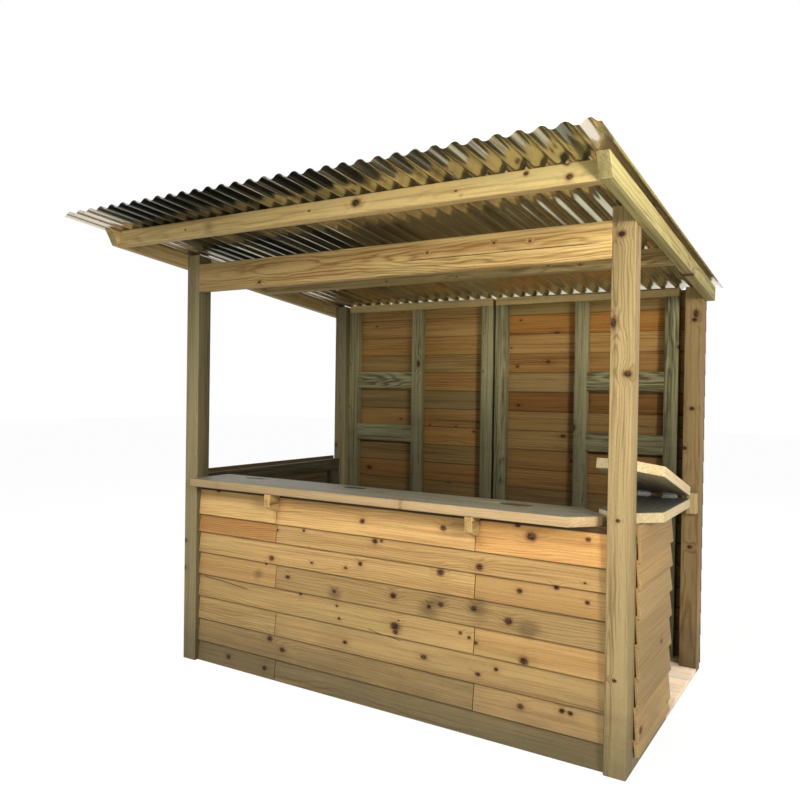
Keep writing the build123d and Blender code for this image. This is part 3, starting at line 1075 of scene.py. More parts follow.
@dataclass
class Posts:
    """Four square corner posts, their tops cut to the roof."""

    ground: Ground
    finishes: Finishes
    size: float = 0.090
    ease: float = 0.004

    def post(self, node: str, seed: int, board: Triple, right_face_shade: float = 1.0) -> None:
        """Builds one post.

        Args:
            node: The solid that it stands for.
            seed: Seed of its grain.
            board: Warmth, brightness and weathering.
            right_face_shade: Brightness of the face towards +X against the others.
        """
        low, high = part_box(node)
        centre = middle(node)
        top = high.z - math.tan(self.ground.pitch) * self.size / 2
        stock = Stock(seed)
        section = rounded(self.size, self.size, self.ease, 3)
        # The face towards +X takes painted shade when its brightness is below 1.
        shade = np.where(section[:, 0] > self.size / 2 - 1e-6, right_face_shade, 1.0)
        stock.carry(section, [centre[0], centre[1], low.z], [centre[0], centre[1], top], X_AXIS,
                    board, end_cut=self.ground.roof_normal, ease=0.002, bow=0.0, shade=shade)
        replace(node, stock, self.finishes.post)

    def build(self) -> None:
        """Builds the four posts."""
        # The left posts' faces towards +X take painted shade.
        self.post("post_front_left", 11, (0.0, 0.46, 0.06), 0.52)
        self.post("post_front_right", 23, (0.2, 0.70, 0.0))
        self.post("post_rear_left", 37, (-0.25, 0.38, 0.12), 0.7)
        self.post("post_rear_right", 41, (0.45, 0.60, 0.0))


@dataclass
class RoofTimbers:
    """Header, rails and raked rafters."""

    ground: Ground
    finishes: Finishes
    width: float = 0.075
    thickness: float = 0.047
    rake: float = 0.053
    ease: float = 0.0025

    def header(self) -> None:
        """The deep beam between the front posts."""
        (x0, x1), _, (z0, z1) = extents("header_beam")
        centre = middle("header_beam")
        stock = Stock(5)
        # The fade paints light falling off from the right end to the left.
        stock.carry(rounded(z1 - z0, self.thickness, self.ease), [x1, *centre[1:]],
                    [x0, *centre[1:]], Z_AXIS, (0.12, 1.0, 0.0), bow=0.0, fade=(1.12, 0.64))
        replace("header_beam", stock, self.finishes.frame)

    def rail(self, node: str, seed: int, board: Triple) -> None:
        """A rail between the rafters, square to the roof.

        Args:
            node: The solid that it stands for.
            seed: Seed of its grain.
            board: Warmth, brightness and weathering.
        """
        x0, x1 = ends(node, 0)
        centre = middle(node)
        stock = Stock(seed)
        # The fade paints light falling off from the right end to the left.
        stock.carry(rounded(self.width, self.thickness, self.ease), [x1, *centre[1:]],
                    [x0, *centre[1:]], self.ground.roof_normal, board, bow=0.0, fade=(1.05, 0.82))
        replace(node, stock, self.finishes.frame)

    def rafter(self, node: str, seed: int, board: Triple) -> None:
        """A rafter down the slope, its front end raked back underneath.

        Args:
            node: The solid that it stands for.
            seed: Seed of its grain.
            board: Warmth, brightness and weathering.
        """
        slope, normal = self.ground.downhill, self.ground.roof_normal
        low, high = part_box(node)
        centre = middle(node)
        crown = np.array([centre[0], low.y, high.z])
        back = (high.y - low.y) / slope[1] - self.width * math.tan(self.ground.pitch)
        start = crown - normal * self.width / 2 + slope * self.rake / 2
        end = crown - normal * self.width / 2 + slope * back
        cut = unit(self.width * slope + self.rake * normal)
        stock = Stock(seed)
        stock.carry(rounded(self.width, self.thickness, self.ease), start, end, normal, board,
                    start_cut=cut, bow=0.0)
        replace(node, stock, self.finishes.frame)

    def build(self) -> None:
        """Builds every roof timber."""
        self.header()
        self.rail("front_roof_rail", 6, (0.0, 0.98, 0.0))
        self.rail("mid_purlin", 7, (-0.2, 0.85, 0.1))
        self.rafter("rafter_left", 8, (-0.2, 0.95, 0.1))
        self.rafter("rafter_right", 9, (-0.95, 1.04, 0.0))


@dataclass
class RoofSheets:
    """Corrugated sheets lapped by two corrugations."""

    ground: Ground
    finishes: Finishes
    corrugations: int = 10
    count: int = 4
    depth: float = 0.018
    gauge: float = 0.001
    seat: float = 0.0003
    lap_rise: float = 0.0018
    steps: int = 12
    rows: int = 30
    screw_rows: Triple = (-0.4145, 0.6605, 1.431)
    screw_reach: float = 1.2
    screw_radius: float = 0.008
    screw_height: float = 0.0045

    def wave(self, phase: Array, pitch: float) -> Array:
        """Height of the sheet's middle: arcs that meet in tangents, bulging up and down in turn.

        The bends lie half a pitch apart. A point at dx from its bend's middle lies on a circle of
        radius R, at the bend's crown less R and plus the root of R squared less dx squared.

        Args:
            phase: Distance from the first valley.
            pitch: Width of a corrugation.

        Returns:
            Heights above the valleys.
        """
        half = pitch / 2
        radius = ((pitch / 4) ** 2 + (self.depth / 2) ** 2) / self.depth
        bend = np.round(phase / half)
        off = phase - bend * half
        bulge = np.where(bend % 2 == 1, 1.0, -1.0)
        return self.depth / 2 + bulge * (self.depth / 2 - radius + np.sqrt(radius**2 - off**2))

    def skin(self, rows: int, columns: int) -> list[list[int]]:
        """Faces of the top, the underside and the four edges, from rings round the sheet.

        Args:
            rows: Points down the slope.
            columns: Points across.

        Returns:
            The faces, the top's points being numbered before the underside's.
        """
        top, under = np.arange(2 * rows * columns).reshape(2, rows, columns)
        around = joined(np.concatenate([top, under[:, ::-1]], 1))
        front, rear = (np.stack([top[row, :-1], top[row, 1:], under[row, 1:], under[row, :-1]], -1)
                       for row in (0, -1))
        return np.concatenate([around, front[:, ::-1], rear]).tolist()

    def sheet(self, index: int) -> None:
        """One sheet: the wave carried straight down the slope, top and underside a gauge apart.

        Args:
            index: Its number from the left.
        """
        node = f"roof_sheet_{index + 1}"
        low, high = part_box(node)
        pitch = (high.x - low.x) / self.corrugations
        phase = np.linspace(0, high.x - low.x, self.corrugations * self.steps + 1)
        height = self.wave(phase, pitch)
        slant = np.gradient(height, phase)
        side = np.stack([-slant, np.ones_like(slant)], 1) / np.sqrt(1 + slant**2)[:, None]
        slope, normal = self.ground.downhill, self.ground.roof_normal
        rise = self.seat + (self.lap_rise if index % 2 else 0.0) + self.gauge / 2
        start = np.array([low.x, low.y, self.ground.roof_at(low.y - self.ground.face)])
        overhang = (self.depth + self.gauge) * math.tan(self.ground.pitch)
        length = (high.y - low.y) / slope[1] - overhang - self.seat
        down = np.linspace(0.0, length, self.rows + 1)
        layers = []
        for way in (1.0, -1.0):
            x = phase + side[:, 0] * way * self.gauge / 2
            x = np.clip(x, 0.0, high.x - low.x)
            z = rise + height + side[:, 1] * way * self.gauge / 2
            layers.append(start + down[:, None, None] * slope + x[None, :, None] * X_AXIS
                          + z[None, :, None] * normal)
        points = np.stack(layers)
        name = f"{node}_steel"
        data = new_mesh(name, points, self.skin(len(down), len(phase)))
        share, place, under = np.meshgrid(down / length, low.x + phase, (0.0, 1.0), indexing="ij")
        lay(data, "sheet", np.stack([share, place, under], -1).transpose(2, 0, 1, 3))
        settle(finished(name, data, self.finishes.sheet, SHEET_SHARP), Body.BAR,
               [node])

    def fixings(self) -> None:
        """Domed screws on every third crest, over the rails and the back plate."""
        low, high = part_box("roof_sheet_1")[0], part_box("roof_sheet_4")[1]
        pitch = (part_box("roof_sheet_1")[1].x - low.x) / self.corrugations
        total = round((high.x - low.x) / pitch)
        crests = low.x + (np.arange(1, total, 3) + 0.5) * pitch
        inside = crests[np.abs(crests) < self.screw_reach]
        centres = []
        for y in self.screw_rows:
            z = self.ground.roof_at(y) + self.depth + self.gauge + self.lap_rise
            centres.append(np.stack([inside, np.full_like(inside, self.ground.face + y),
                                     np.full_like(inside, z)], 1))
        piece = heads("roof_screws", np.concatenate(centres), self.ground.roof_normal,
                      self.screw_radius, self.screw_height, self.finishes.hinge)
        settle(piece, Body.BAR)

    def build(self) -> None:
        """Builds the sheets and their fixings."""
        for index in range(self.count):
            self.sheet(index)
        self.fixings()


def courses(node: str, gauges: Sequence[float]) -> Array:
    """Heights of the courses' lips, the gauges being shared out over the solid's height.

    Args:
        node: The solid.
        gauges: Each course's height that shows.

    Returns:
        One height more than there are gauges, from the foot to the top.
    """
    low, high = ends(node, 2)
    shares = np.concatenate([[0.0], np.cumsum(gauges)]) / sum(gauges)
    return low + shares * (high - low)


@dataclass
class LappedWall:
    """A wall's lapped boards, each a wedge that rests on the board below.

    The mood is the boards' warmth, brightness and weathering, and changes from board to board by
    the spread, unless the moods give it for each course and bay or special for a whole course. The
    inner, lip and head shades are the brightness painted as shade in the laps inside and outside
    and at the head, and the shadows say how far from the lap each one starts and is full. The
    inside's shade is its brightness, painted as shade, at the two inside heights. The drop carries
    the lowest board down past the solid.
    """

    node: str
    outward: Triple
    finish: bpy.types.Material
    gauges: tuple[float, ...]
    joints: tuple[tuple[float, ...], ...] = ()
    moods: tuple[tuple[Triple, ...], ...] = ()
    lip: float = 0.025
    thin: float = 0.011
    lap: float = 0.012
    gap: float = 0.0018
    seed: int = 100
    mood: Triple = (0.0, 1.0, 0.0)
    spread: float = 0.35
    bright_spread: float = 0.12
    special: tuple[tuple[int, Triple], ...] = ()
    inner_painted_shade: float = 0.25
    inside_painted_shade: Pair = (1.0, 1.0)
    outer: float = 1.0
    head_painted_shade: float = 1.0
    cap: float = 1.0
    drop: float = 0.0
    ease: float = 0.0022
    inside_heights: Pair = (0.8, 1.9)
    lap_shadow: float = 0.009
    lip_shadow: Pair = (0.009, 0.002)
    lip_painted_shade: float = 0.55
    head_shadow: Pair = (0.025, 0.0205)

    def board_section(self, bottom: float, top: float, last: bool) -> tuple[Array, Array]:
        """A board's section, outward and up: thick lip below, thin edge above, back leaning out.

        Args:
            bottom: Height of its lip.
            top: Height of the next board's lip.
            last: Whether no board laps over it.

        Returns:
            The outline, with its arrises eased, and each point's brightness, with painted shade in
            the laps.
        """
        crown = top if last else top + self.lap
        lean = (self.lip - self.thin) / (top - bottom)
        face_at_crown = self.thin - (crown - top) * lean
        corners = np.array([
            [self.thin - 0.0005, bottom], [self.lip, bottom], [face_at_crown, crown],
            [0.0, crown],
        ])
        outline = eased(corners, self.ease)
        crown_painted_shade = self.head_painted_shade if last else 0.5
        # Painted shade under the lip and on the crown, where the next board laps over.
        shade = np.array([0.5, 0.5, 0.9, 1.0, crown_painted_shade, crown_painted_shade, 0.5, 1.0])
        laps = (bottom + self.lap + self.lap_shadow, bottom + self.lap)
        shadow, line = self.lip_shadow, self.lip_painted_shade
        if last:
            shadow, line = self.head_shadow, self.head_painted_shade
        lips = (top - shadow[0], top - shadow[1])
        for place, pair, dark in ((8, laps, self.inner_painted_shade), (4, lips, line)):
            start, end = outline[place - 1], outline[place % 8]
            shares = (np.array(pair) - start[1]) / (end[1] - start[1])
            extra = start + shares[:, None] * (end - start)
            outline = np.insert(outline, place, extra, 0)
            shade = np.insert(shade, place, [1.0, dark])
        # Painted shade on the inside by height, and the outer brightness on the outside.
        inside = np.interp(outline[:, 1], self.inside_heights, self.inside_painted_shade)
        return outline, shade * np.where(outline[:, 0] < self.thin - 0.0001, inside, self.outer)

    def build(self) -> None:
        """Builds every board of the wall, course by course."""
        low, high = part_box(self.node)
        outward = np.array(self.outward)
        run = np.cross(outward, Z_AXIS)
        axis = int(np.argmax(np.abs(run)))
        face = int(np.argmax(np.abs(outward)))
        back = low[face] if outward[face] > 0 else high[face]
        edges = courses(self.node, self.gauges)
        edges[0] -= self.drop
        stock = Stock(self.seed)
        for course, (bottom, top) in enumerate(zip(edges, edges[1:])):
            cuts = self.joints[course] if self.joints else ()
            bounds = [low[axis], *cuts, high[axis]]
            for bay, (start, end) in enumerate(zip(bounds, bounds[1:])):
                jitter = stock.chance.uniform(-1, 1, 2)
                mood = (
                    self.moods[course][bay] if self.moods
                    else (self.mood[0] + self.spread * jitter[0],
                          self.mood[1] * (1 + self.bright_spread * jitter[1]), self.mood[2])
                )
                places = [np.zeros(3), np.zeros(3)]
                ways = (start + self.gap * (bay > 0), end - self.gap * (bay < len(cuts)))
                for place, value in zip(places, ways if run[axis] > 0 else ways[::-1]):
                    place[axis], place[face] = value, back
                mood = dict(self.special).get(course, mood)
                section, shade = self.board_section(bottom, top, course == len(edges) - 2)
                stock.carry(section, places[0], places[1], outward, mood, ease=0.0012, bow=0.0,
                            shade=shade, cap=self.cap)
        replace(self.node, stock, self.finish, f"{self.node}_boards")


FRONT_GAUGES = (0.110, 0.122, 0.124, 0.120, 0.120, 0.112, 0.096, 0.156)
SIDE_GAUGES = (0.055, 0.130, 0.120, 0.130, 0.115, 0.110, 0.110, 0.147)
BACK_GAUGE = 0.11875
LEFT_JOINT, RIGHT_JOINT = -0.580, 0.550
FRONT_MOODS = (
    ((-0.35, 0.54, 0.12), (-0.55, 0.62, 0.12)),
    ((-0.20, 0.70, 0.05), (0.00, 0.82, 0.0)),
    ((-0.30, 0.79, 0.0), (-0.20, 0.76, 0.0)),
    ((-0.10, 0.77, 0.0), (0.15, 0.78, 0.0)),
    ((0.15, 0.69, 0.0), (-0.15, 0.64, 0.05)),
    ((-0.10, 0.85, 0.0), (0.20, 0.69, 0.0)),
    ((0.60, 0.62, 0.0), (0.05, 0.76, 0.0)),
    ((-0.10, 1.03, 0.0), (0.10, 1.00, 0.0), (0.45, 1.04, 0.0)),
)
BACK_SPECIAL = {
    "back_cladding_left": ((11, (-0.3, 0.9, 0.1)), (15, (0.2, 1.12, 0.0))),
    "back_cladding_right": ((11, (0.9, 0.62, 0.0)), (12, (-0.1, 1.0, 0.1)),
                            (15, (0.95, 1.0, 0.0))),
}


def make_walls(finishes: Finishes) -> None:
    """Builds the five runs of lapped boards.

    Args:
        finishes: The bar's materials.
    """
    single = ((LEFT_JOINT,), (RIGHT_JOINT,))
    joints = tuple(single[course % 2] for course in range(7)) + ((LEFT_JOINT, RIGHT_JOINT),)
    # A painted shadow line under the counter, along the top of the front's last board.
    LappedWall("front_cladding", (0.0, -1.0, 0.0), finishes.boards, FRONT_GAUGES, joints,
               FRONT_MOODS, seed=101, head_painted_shade=0.10).build()
    # The left wall's inside is painted in shade.
    LappedWall("left_cladding", (-1.0, 0.0, 0.0), finishes.side_boards, SIDE_GAUGES, seed=102,
               mood=(-0.2, 0.72, 0.08), inside_painted_shade=(0.15, 0.15)).build()
    # The right wall's board ends are brightened as a painted highlight.
    LappedWall("right_cladding", (1.0, 0.0, 0.0), finishes.side_boards, SIDE_GAUGES, seed=103,
               mood=(-0.1, 0.84, 0.03), special=((0, (0.0, 1.2, 0.0)), (1, (0.0, 1.05, 0.0))),
               spread=0.2, cap=1.5).build()
    for node, seed in (("back_cladding_left", 104), ("back_cladding_right", 105)):
        low, high = ends(node, 2)
        whole = int((high - low) / BACK_GAUGE)
        gauges = (BACK_GAUGE,) * whole + (high - low - whole * BACK_GAUGE,)
        # Painted shade inside the back wall, darker towards its foot; the outer brightness lifts
        # the outside.
        LappedWall(node, (0.0, 1.0, 0.0), finishes.back_boards, gauges, seed=seed,
                   mood=(0.1, 1.0, 0.0), spread=0.5, special=BACK_SPECIAL[node],
                   inside_painted_shade=(0.36, 1.0), outer=1.7, drop=0.034).build()


@dataclass
class WallFrames:
    """Studs, rails and plates behind the boards, and the small blocks."""

    ground: Ground
    finishes: Finishes
    width: float = 0.075
    thickness: float = 0.047
    ease: float = 0.0025
    front_stud_starts: Pair = (-0.6175, 0.5125)
    shelf_rail_height: float = 0.108
    bracket_width: float = 0.039
    bracket_foot: float = 0.025
    bracket_slant: float = 0.012
    bracket_head: float = 0.002
    post_gap: float = 0.001

    def member(self, stock: Stock, x: Pair, y: Pair, z: Pair, board: Triple) -> None:
        """A squared member that fills a box, its grain along its longest side.

        Args:
            stock: Where it goes.
            x: Its ends along X.
            y: Its ends along Y.
            z: Its ends along Z.
            board: Warmth, brightness and weathering.
        """
        low, high = np.array([x[0], y[0], z[0]]), np.array([x[1], y[1], z[1]])
        size, centre = high - low, (low + high) / 2
        run = int(np.argmax(size))
        across, through = [(1, 2), (2, 0), (0, 1)][run]
        start, end = centre.copy(), centre.copy()
        start[run], end[run] = low[run], high[run]
        stock.carry(rounded(size[across], size[through], self.ease), start, end,
                    np.eye(3)[across], board, bow=0.0)

    def several(self, node: str, boxes: Sequence[tuple[Pair, Pair, Pair]], seed: int,
                board: Triple, finish: bpy.types.Material | None = None) -> None:
        """A node's members, each a little different.

        Args:
            node: The solids that they stand for.
            boxes: Their places.
            seed: Seed of their grain.
            board: Warmth, brightness and weathering.
            finish: Their finish, that of the studs if left out.
        """
        stock = Stock(seed)
        for x, y, z in boxes:
            change = stock.chance.uniform(-1, 1, 2)
            mood = (board[0] + 0.2 * change[0], board[1] * (1 + 0.08 * change[1]), board[2])
            self.member(stock, x, y, z, mood)
        replace(node, stock, finish or self.finishes.studs)

    def front(self) -> None:
        """The serving front's studs and rails."""
        (x0, x1), y, z = extents("front_studs")
        starts = (x0, *self.front_stud_starts, x1 - self.width)
        self.several("front_studs", [((x, x + self.width), y, z) for x in starts], 51,
                     (-0.2, 0.9, 0.15))
        top = ends("front_rails", 2)[1]
        rails = [((x0, x1), y, (foot, foot + self.width)) for foot in (0.0, top - self.width)]
        self.several("front_rails", rails, 52, (-0.2, 0.9, 0.15))

    def side(self, side: str, seed: int) -> None:
        """A side wall's studs and rails.

        Args:
            side: left or right.
            seed: Seed of their grain.
        """
        studs, rails = f"{side}_studs", f"{side}_rails"
        x, (y0, y1), z = extents(studs)
        starts = [y0, y1 - self.width]
        board, finish = (0.0, 0.9, 0.0), self.finishes.post
        if side == "left":
            starts.insert(1, (y0 + y1 - self.width) / 2)
            # Darkened as painted shade inside the left wall.
            board, finish = (0.0, 0.28, 0.15), self.finishes.studs
        self.several(studs, [(x, (y, y + self.width), z) for y in starts], seed, board, finish)
        top = ends(rails, 2)[1]
        boxes = [(x, ends(rails, 1), (z0, z0 + self.width)) for z0 in (0.0, top - self.width)]
        self.several(rails, boxes, seed + 1, board, finish)

    def back(self) -> None:
        """The back wall's studs, plates and shelf rails."""
        for side, seed in (("left", 61), ("right", 71)):
            studs, shelves = f"back_studs_{side}", f"shelf_rails_{side}"
            (x0, x1), y, z = extents(studs)
            starts = (x0, (x0 + x1 - self.width) / 2, x1 - self.width)
            self.several(studs, [((x, x + self.width), y, z) for x in starts], seed,
                         (-0.12, 0.74, 0.12))
            x, y, (low, high) = extents(shelves)
            rows = [(x, y, (z0, z0 + self.shelf_rail_height))
                    for z0 in (low, high - self.shelf_rail_height)]
            self.several(shelves, rows, seed + 2, (-0.30, 0.80, 0.20))
        stock = Stock(81)
        y0, y1 = ends("back_plates", 1)
        for side in ("left", "right"):
            x = ends(f"back_studs_{side}", 0)
            foot = (x[0], ends("post_rear_right", 0)[0] - self.post_gap) if side == "right" else x
            self.member(stock, foot, (y0, y1), (0.0, self.thickness), (-0.1, 0.6, 0.1))
            bottom = self.ground.roof_at(y0 - self.ground.face) - self.thickness
            tops = [self.ground.roof_at(y - self.ground.face) for y in (y0, y1)]
            corners = np.array([[0.0, bottom], [y1 - y0, bottom], [y1 - y0, tops[1]],
                                [0.0, tops[0]]])
            stock.carry(eased(corners, self.ease), [x[0], y0, 0.0], [x[1], y0, 0.0], Y_AXIS,
                        (0.0, 0.95, 0.1), bow=0.0)
        replace("back_plates", stock, self.finishes.frame)

    def brackets(self) -> None:
        """Short blocks under the counter, their feet slanting back to the boards."""
        (x0, x1), (y0, y1), (z0, z1) = extents("counter_brackets")
        stock = Stock(91)
        wide = self.bracket_width
        corners = np.array([[y0, z1], [y0, z0 + self.bracket_foot], [y1 - self.bracket_slant, z0],
                            [y1, z1 - self.bracket_head], [y1, z1]])
        for start in (x0, x1 - wide):
            section = eased(corners, self.ease)
            stock.carry(section, [start, 0.0, 0.0], [start + wide, 0.0, 0.0], Y_AXIS,
                        (0.25, 0.85, 0.0), ease=self.ease, bow=0.0)
        stock.grain = [grain[:, [2, 1, 0]] for grain in stock.grain]
        replace("counter_brackets", stock, self.finishes.frame)

    def build(self) -> None:
        """Builds every wall's frame and the blocks."""
        self.front()
        self.side("left", 53)
        self.side("right", 57)
        self.back()
        self.brackets()
        self.several("flap_support_block", [extents("flap_support_block")], 95, (0.2, 1.0, 0.0),
                     self.finishes.post)


@dataclass
class Floor:
    """Floor boards, laid along the bar and cut round the rear posts."""

    finishes: Finishes
    gap: float = 0.004
    ease: float = 0.0025
    post_inset: float = 0.043
    counts: tuple[int, int, int] = (6, 7, 1)

    def build(self) -> None:
        """Builds the boards: up to the doorway, through it, and between the rear posts."""
        (x0, x1), (y0, y1), (z0, z1) = extents("floor")
        inner = -x0
        post = inner - self.post_inset
        door = ends("right_studs", 1)[1]
        rear = ends("post_rear_left", 1)[0]
        stock = Stock(121)
        stretches = ((y0, door, x0, inner), (door, rear, x0, x1), (rear, y1, -post, post))
        for count, (start, end, left, right) in zip(self.counts, stretches):
            rows = np.linspace(start, end, count + 1)
            for low, high in zip(rows, rows[1:]):
                change = stock.chance.uniform(-1, 1, 2)
                mood = (0.1 * change[0], 0.96 + 0.06 * change[1], 0.0)
                centre = [(low + high) / 2, (z0 + z1) / 2]
                section = rounded(high - low - self.gap, z1 - z0, self.ease)
                stock.carry(section, [left, *centre], [right, *centre], Y_AXIS, mood, bow=0.0)
        replace("floor", stock, self.finishes.floor, "floor_boards")


@dataclass
class Counters:
    """Serving counter, side counter and the flap that continues it."""

    finishes: Finishes
    front_cut: float = 0.110
    corner_cut: float = 0.118
    inner_cut: float = 0.060
    junction_gap: float = 0.005
    post_gap: float = 0.010
    ease: float = 0.004

    def serving(self) -> None:
        """The long counter, with both corners of its right end cut off."""
        (x0, x1), (y0, y1), z = extents("counter")
        side_x, side_y = ends("side_counter", 0)[0], ends("side_counter", 1)[0]
        line = side_x + side_y + self.inner_cut - self.junction_gap * math.sqrt(2)
        plan = np.array([[x0, y0], [x1 - self.front_cut, y0], [x1, y0 + self.front_cut],
                         [x1, line - x1], [line - y1, y1], [x0, y1]])
        stock = Stock(131)
        stock.slab(plan, z, X_AXIS, self.ease, (0.3, 1.0, 0.95), flats=(0.94, 1.3),
                   edges=(0.43, 0.66))
        replace("counter", stock, self.finishes.counter, "serving_counter_board")

    def side(self) -> None:
        """The short counter outside the right wall."""
        (x0, x1), (y0, y1), z = extents("side_counter")
        plan = np.array([[x0, y0 + self.inner_cut], [x0 + self.inner_cut, y0],
                         [x1 - self.corner_cut, y0], [x1, y0 + self.corner_cut], [x1, y1],
                         [x0, y1]])
        stock = Stock(137)
        # The top darkens towards the hinge at its back: painted shade under the folded flap.
        stock.slab(plan, z, Y_AXIS, self.ease, (-0.2, 0.9, 1.0), flats=(1.1, 0.45))
        replace("side_counter", stock, self.finishes.counter,
                "side_counter_board")

    def flap(self, joint: dict[str, Any]) -> None:
        """The flap, built level and then folded back over the side counter.

        Args:
            joint: The flap's hinge in the record.
        """
        (x0, x1), (_, side_back), z = extents("side_counter")
        hinge = np.array(joint["pos_m"])
        fold = math.radians(-joint["range_deg"][0])
        near = 2 * hinge[1] - side_back
        far = ends("post_rear_right", 1)[0] - self.post_gap
        plan = np.array([[x0, near], [x1, near], [x1, far - self.corner_cut],
                         [x1 - self.corner_cut, far], [x0, far]])

        def turn(points: Array) -> Array:
            """Turns points about the hinge line: y and z by the cosine and sine of the fold."""
            back, up = points[:, 1] - hinge[1], points[:, 2] - hinge[2]
            return np.stack([points[:, 0], hinge[1] + back * math.cos(fold) - up * math.sin(fold),
                             hinge[2] + back * math.sin(fold) + up * math.cos(fold)], 1)

        stock = Stock(139)
        # Darker near the hinge: painted shade between the folded flap and the side counter.
        stock.slab(plan, z, Y_AXIS, self.ease, (0.0, 0.96, 0.55), turn, flats=(0.4, 1.1))
        replace("flap", stock, self.finishes.counter, "flap_board", Body.FLAP)

    def build(self, joint: dict[str, Any]) -> None:
        """Builds the three boards.

        Args:
            joint: The flap's hinge in the record.
        """
        self.serving()
        self.side()
        self.flap(joint)


@dataclass
class Fixings:
    """Nails in the boards and the finish of the hinges."""

    finishes: Finishes
    frame: dict[str, Any]
    columns: tuple[float, ...] = (-1.105, -0.606, -0.554, 0.524, 0.576, 1.105)
    rise: float = 0.028
    lean: float = 0.014
    usual_gauge: float = 0.12
    radius: float = 0.0024
    height: float = 0.0008

    def front_nails(self, gauges: Sequence[float]) -> None:
        """Nails near each board's lip at the studs of the serving front, on the slanting faces.

        A nail lies behind the lip by the board's lean times the nail's share of the gauge.

        Args:
            gauges: Each course's height that shows.
        """
        front, edges = ends("front_cladding", 1)[0], courses("front_cladding", gauges)
        centres = [
            [x, front + self.lean * self.rise / (top - bottom), bottom + self.rise]
            for x in self.columns for bottom, top in zip(edges, edges[1:])
        ]
        outward = np.array([0.0, -1.0, self.lean / self.usual_gauge])
        piece = heads("front_board_nails", np.array(centres), outward, self.radius, self.height,
                      self.finishes.nail)
        settle(piece, Body.BAR)

    def hinges(self) -> None:
        """Finishes the two hinge solids."""
        for node in ("flap_hinge_fixed", "flap_hinge_moving"):
            data = self.frame["nodes"][node].data
            data.materials.clear()
            data.materials.append(self.finishes.hinge)

    def build(self, gauges: Sequence[float]) -> None:
        """Builds the nails and finishes the hinges."""
        self.front_nails(gauges)
        self.hinges()


# Studio

# Name, place, target, side, watts, colour and, for narrow beams, the beam's angle
LAMPS = (
    ("sky", (-0.6, -5.6, 6.0), (0.0, -0.4, 0.6), 3.2, 350.0, (1.0, 0.99, 0.97)),
    ("sun", (5.2, -3.4, 3.0), (0.8, -0.4, 1.7), 1.3, 190.0, (1.0, 0.96, 0.88)),
    ("low sun", (4.9, -3.3, 2.35), (0.9, -0.5, 2.15), 1.0, 13.0, (1.0, 0.96, 0.86), 40.0),
    ("door sun", (4.4, 1.7, 3.2), (1.2, 0.68, 0.0), 0.3, 1.3, (1.0, 0.96, 0.88), 14.0),
    ("rear", (-2.2, 6.4, 4.2), (0.0, 1.0, 1.0), 3.0, 170.0, (0.98, 0.99, 1.0)),
    ("bounce", (0.3, -3.7, 0.10), (0.0, 0.8, 2.1), 2.4, 34.0, (1.0, 0.95, 0.84)),
)


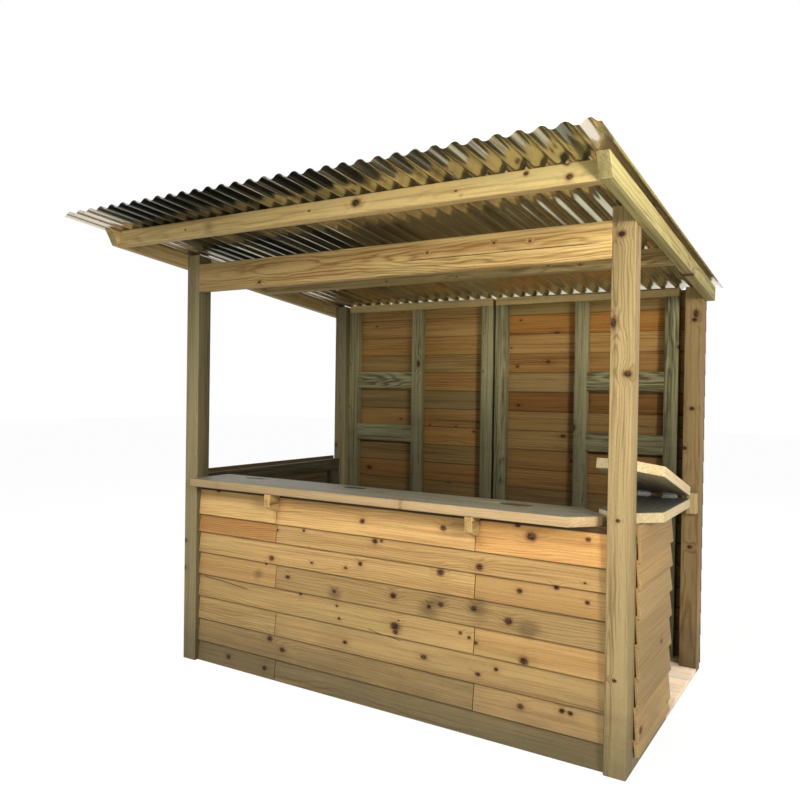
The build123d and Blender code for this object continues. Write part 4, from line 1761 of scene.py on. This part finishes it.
@dataclass
class Studio:
    """Pale floor, soft light, white background and the camera.

    The eye stands behind the front posts' faces by its second number.
    """

    ground: Ground
    eye: Triple = (2.0036, -2.9404, 1.4882)
    yaw: float = 0.5571
    pitch: float = -0.0106
    roll: float = 0.0147
    lens: float = 34.21
    sensor: float = 36.0
    sky_light: float = 0.28
    floor_reach: float = 30.0
    floor_lines: int = 13
    swell: float = 0.0005
    swell_length: float = 9.0
    glow: float = 1.1
    glow_share: float = 0.86

    def stand(self, name: str, data: Any, axes: Array, place: Sequence[float]) -> bpy.types.Object:
        """Stands a camera or a lamp in the scene.

        Args:
            name: Its name.
            data: Its data.
            axes: Its right, its up and its back, as columns.
            place: Where it stands.

        Returns:
            The object.
        """
        matrix = np.eye(4)
        matrix[:3, :3] = axes
        matrix[:3, 3] = place
        made = bpy.data.objects.new(name, data)
        made.matrix_world = Matrix(matrix.tolist())
        bpy.context.scene.collection.objects.link(made)
        return made

    def camera(self) -> None:
        """Turns the camera: forward from yaw and pitch, then right and up rolled about it."""
        forward = np.array([-math.sin(self.yaw) * math.cos(self.pitch),
                            math.cos(self.yaw) * math.cos(self.pitch), math.sin(self.pitch)])
        right = np.array([math.cos(self.yaw), math.sin(self.yaw), 0.0])
        up = np.cross(right, forward)
        c, s = math.cos(self.roll), math.sin(self.roll)
        axes = np.stack([c * right + s * up, -s * right + c * up, -forward], 1)
        place = (self.eye[0], self.eye[1] + self.ground.face, self.eye[2])
        data = bpy.data.cameras.new("view")
        data.lens, data.sensor_width, data.sensor_fit = self.lens, self.sensor, "HORIZONTAL"
        bpy.context.scene.camera = self.stand("view", data, axes, place)

    def lamp(self, name: str, place: Triple, target: Triple, size: float, power: float,
             colour: Triple, spread: float = 180.0) -> None:
        """A square soft lamp.

        Args:
            name: Its name.
            place: Where it hangs.
            target: What it points at.
            size: Its side.
            power: Its power in watts.
            colour: Its colour.
            spread: Its beam's full angle in degrees.
        """
        data = bpy.data.lights.new(name, "AREA")
        data.spread = math.radians(spread)
        data.size, data.energy, data.color = size, power, colour
        away = unit(np.array(place) - np.array(target))
        side = unit(np.cross(Z_AXIS, away))
        self.stand(name, data, np.stack([side, np.cross(away, side), away], 1), place)

    def seen_white(self, nodes: Nodes, usual: bpy.types.NodeSocket,
                   seen: bpy.types.NodeSocket) -> bpy.types.NodeSocket:
        """Mixes two shaders, of which the camera and mirrors see the second.

        Args:
            nodes: The nodes they are in.
            usual: What gives light.
            seen: What is seen.

        Returns:
            The mix.
        """
        path = nodes.node("ShaderNodeLightPath", {}, {})
        share = path.outputs["Is Camera Ray"]
        for name in ("Is Glossy Ray", "Is Transmission Ray"):
            values = {0: share, 1: path.outputs[name]}
            share = nodes.node("ShaderNodeMath", {"operation": "MAXIMUM"}, values).outputs[0]
        return nodes.node("ShaderNodeMixShader", {}, {0: share, 1: usual, 2: seen}).outputs[0]

    def world(self) -> None:
        """White to the camera, softer as light."""
        world = bpy.data.worlds.new("studio")
        bpy.context.scene.world = world
        world.use_nodes = True
        nodes = Nodes(world.node_tree)
        light = nodes.tree.nodes["Background"]
        nodes.feed(light.inputs["Color"], (0.96, 0.98, 1.0))
        nodes.feed(light.inputs["Strength"], self.sky_light)
        white = nodes.node("ShaderNodeBackground", {}, {"Color": (1.0, 1.0, 1.0)})
        mix = self.seen_white(nodes, light.outputs[0], white.outputs[0])
        nodes.feed(nodes.tree.nodes["World Output"].inputs["Surface"], mix)

    def floor(self) -> None:
        """A pale floor, as wide as the studio, with a swell too small to see.

        The height is the swell times one plus the product of the cosines of x and of y, each over
        the swell's length, and all of it lies below the ground.
        """
        side = np.linspace(-self.floor_reach, self.floor_reach, self.floor_lines)
        x, y = np.meshgrid(side, side)
        wave = np.cos(x / self.swell_length) * np.cos(y / self.swell_length)
        z = -self.swell - self.swell * wave
        grid = np.arange(x.size).reshape(x.shape)
        quads = np.stack([grid[:-1, :-1], grid[:-1, 1:], grid[1:, 1:], grid[1:, :-1]], -1)
        data = new_mesh("studio_floor", np.stack([x, y, z], -1), quads.reshape(-1, 4).tolist())
        shader = Shader("studio_floor")
        cloud = shader.noise(shader.object_place(), (0.6, 0.6, 0.6), 2.0)
        colour = shader.mixed(cloud, (0.62, 0.62, 0.60), (0.58, 0.58, 0.57))
        shader.feed(shader.surface.inputs["Base Color"], colour)
        shader.feed(shader.surface.inputs["Roughness"], 0.9)
        glowing = {"Color": (1.0, 1.0, 1.0), "Strength": self.glow}
        glow = shader.node("ShaderNodeEmission", {}, glowing).outputs[0]
        surface = shader.surface.outputs[0]
        shares = {0: self.glow_share, 1: surface, 2: glow}
        half = shader.node("ShaderNodeMixShader", {}, shares).outputs[0]
        mix = self.seen_white(shader, surface, half)
        shader.feed(shader.tree.nodes["Material Output"].inputs["Surface"], mix)
        piece = finished("studio_floor", data, shader.material, SHEET_SHARP)

    def build(self) -> None:
        """Sets the studio up."""
        self.camera()
        self.world()
        self.floor()
        for lamp in LAMPS:
            self.lamp(*lamp)
        bpy.context.scene.view_settings.view_transform = "Standard"


def main() -> None:
    """Builds the bar in order, then the studio."""
    logging.basicConfig(level=logging.INFO, format="%(name)s: %(message)s")
    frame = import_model()
    ground = Ground().read()
    finishes = make_finishes()
    Posts(ground, finishes).build()
    RoofTimbers(ground, finishes).build()
    RoofSheets(ground, finishes).build()
    make_walls(finishes)
    WallFrames(ground, finishes).build()
    Floor(finishes).build()
    Counters(finishes).build(frame["joints"][0])
    Fixings(finishes, frame).build(FRONT_GAUGES)
    Studio(ground).build()


if __name__ == "__main__":
    main()
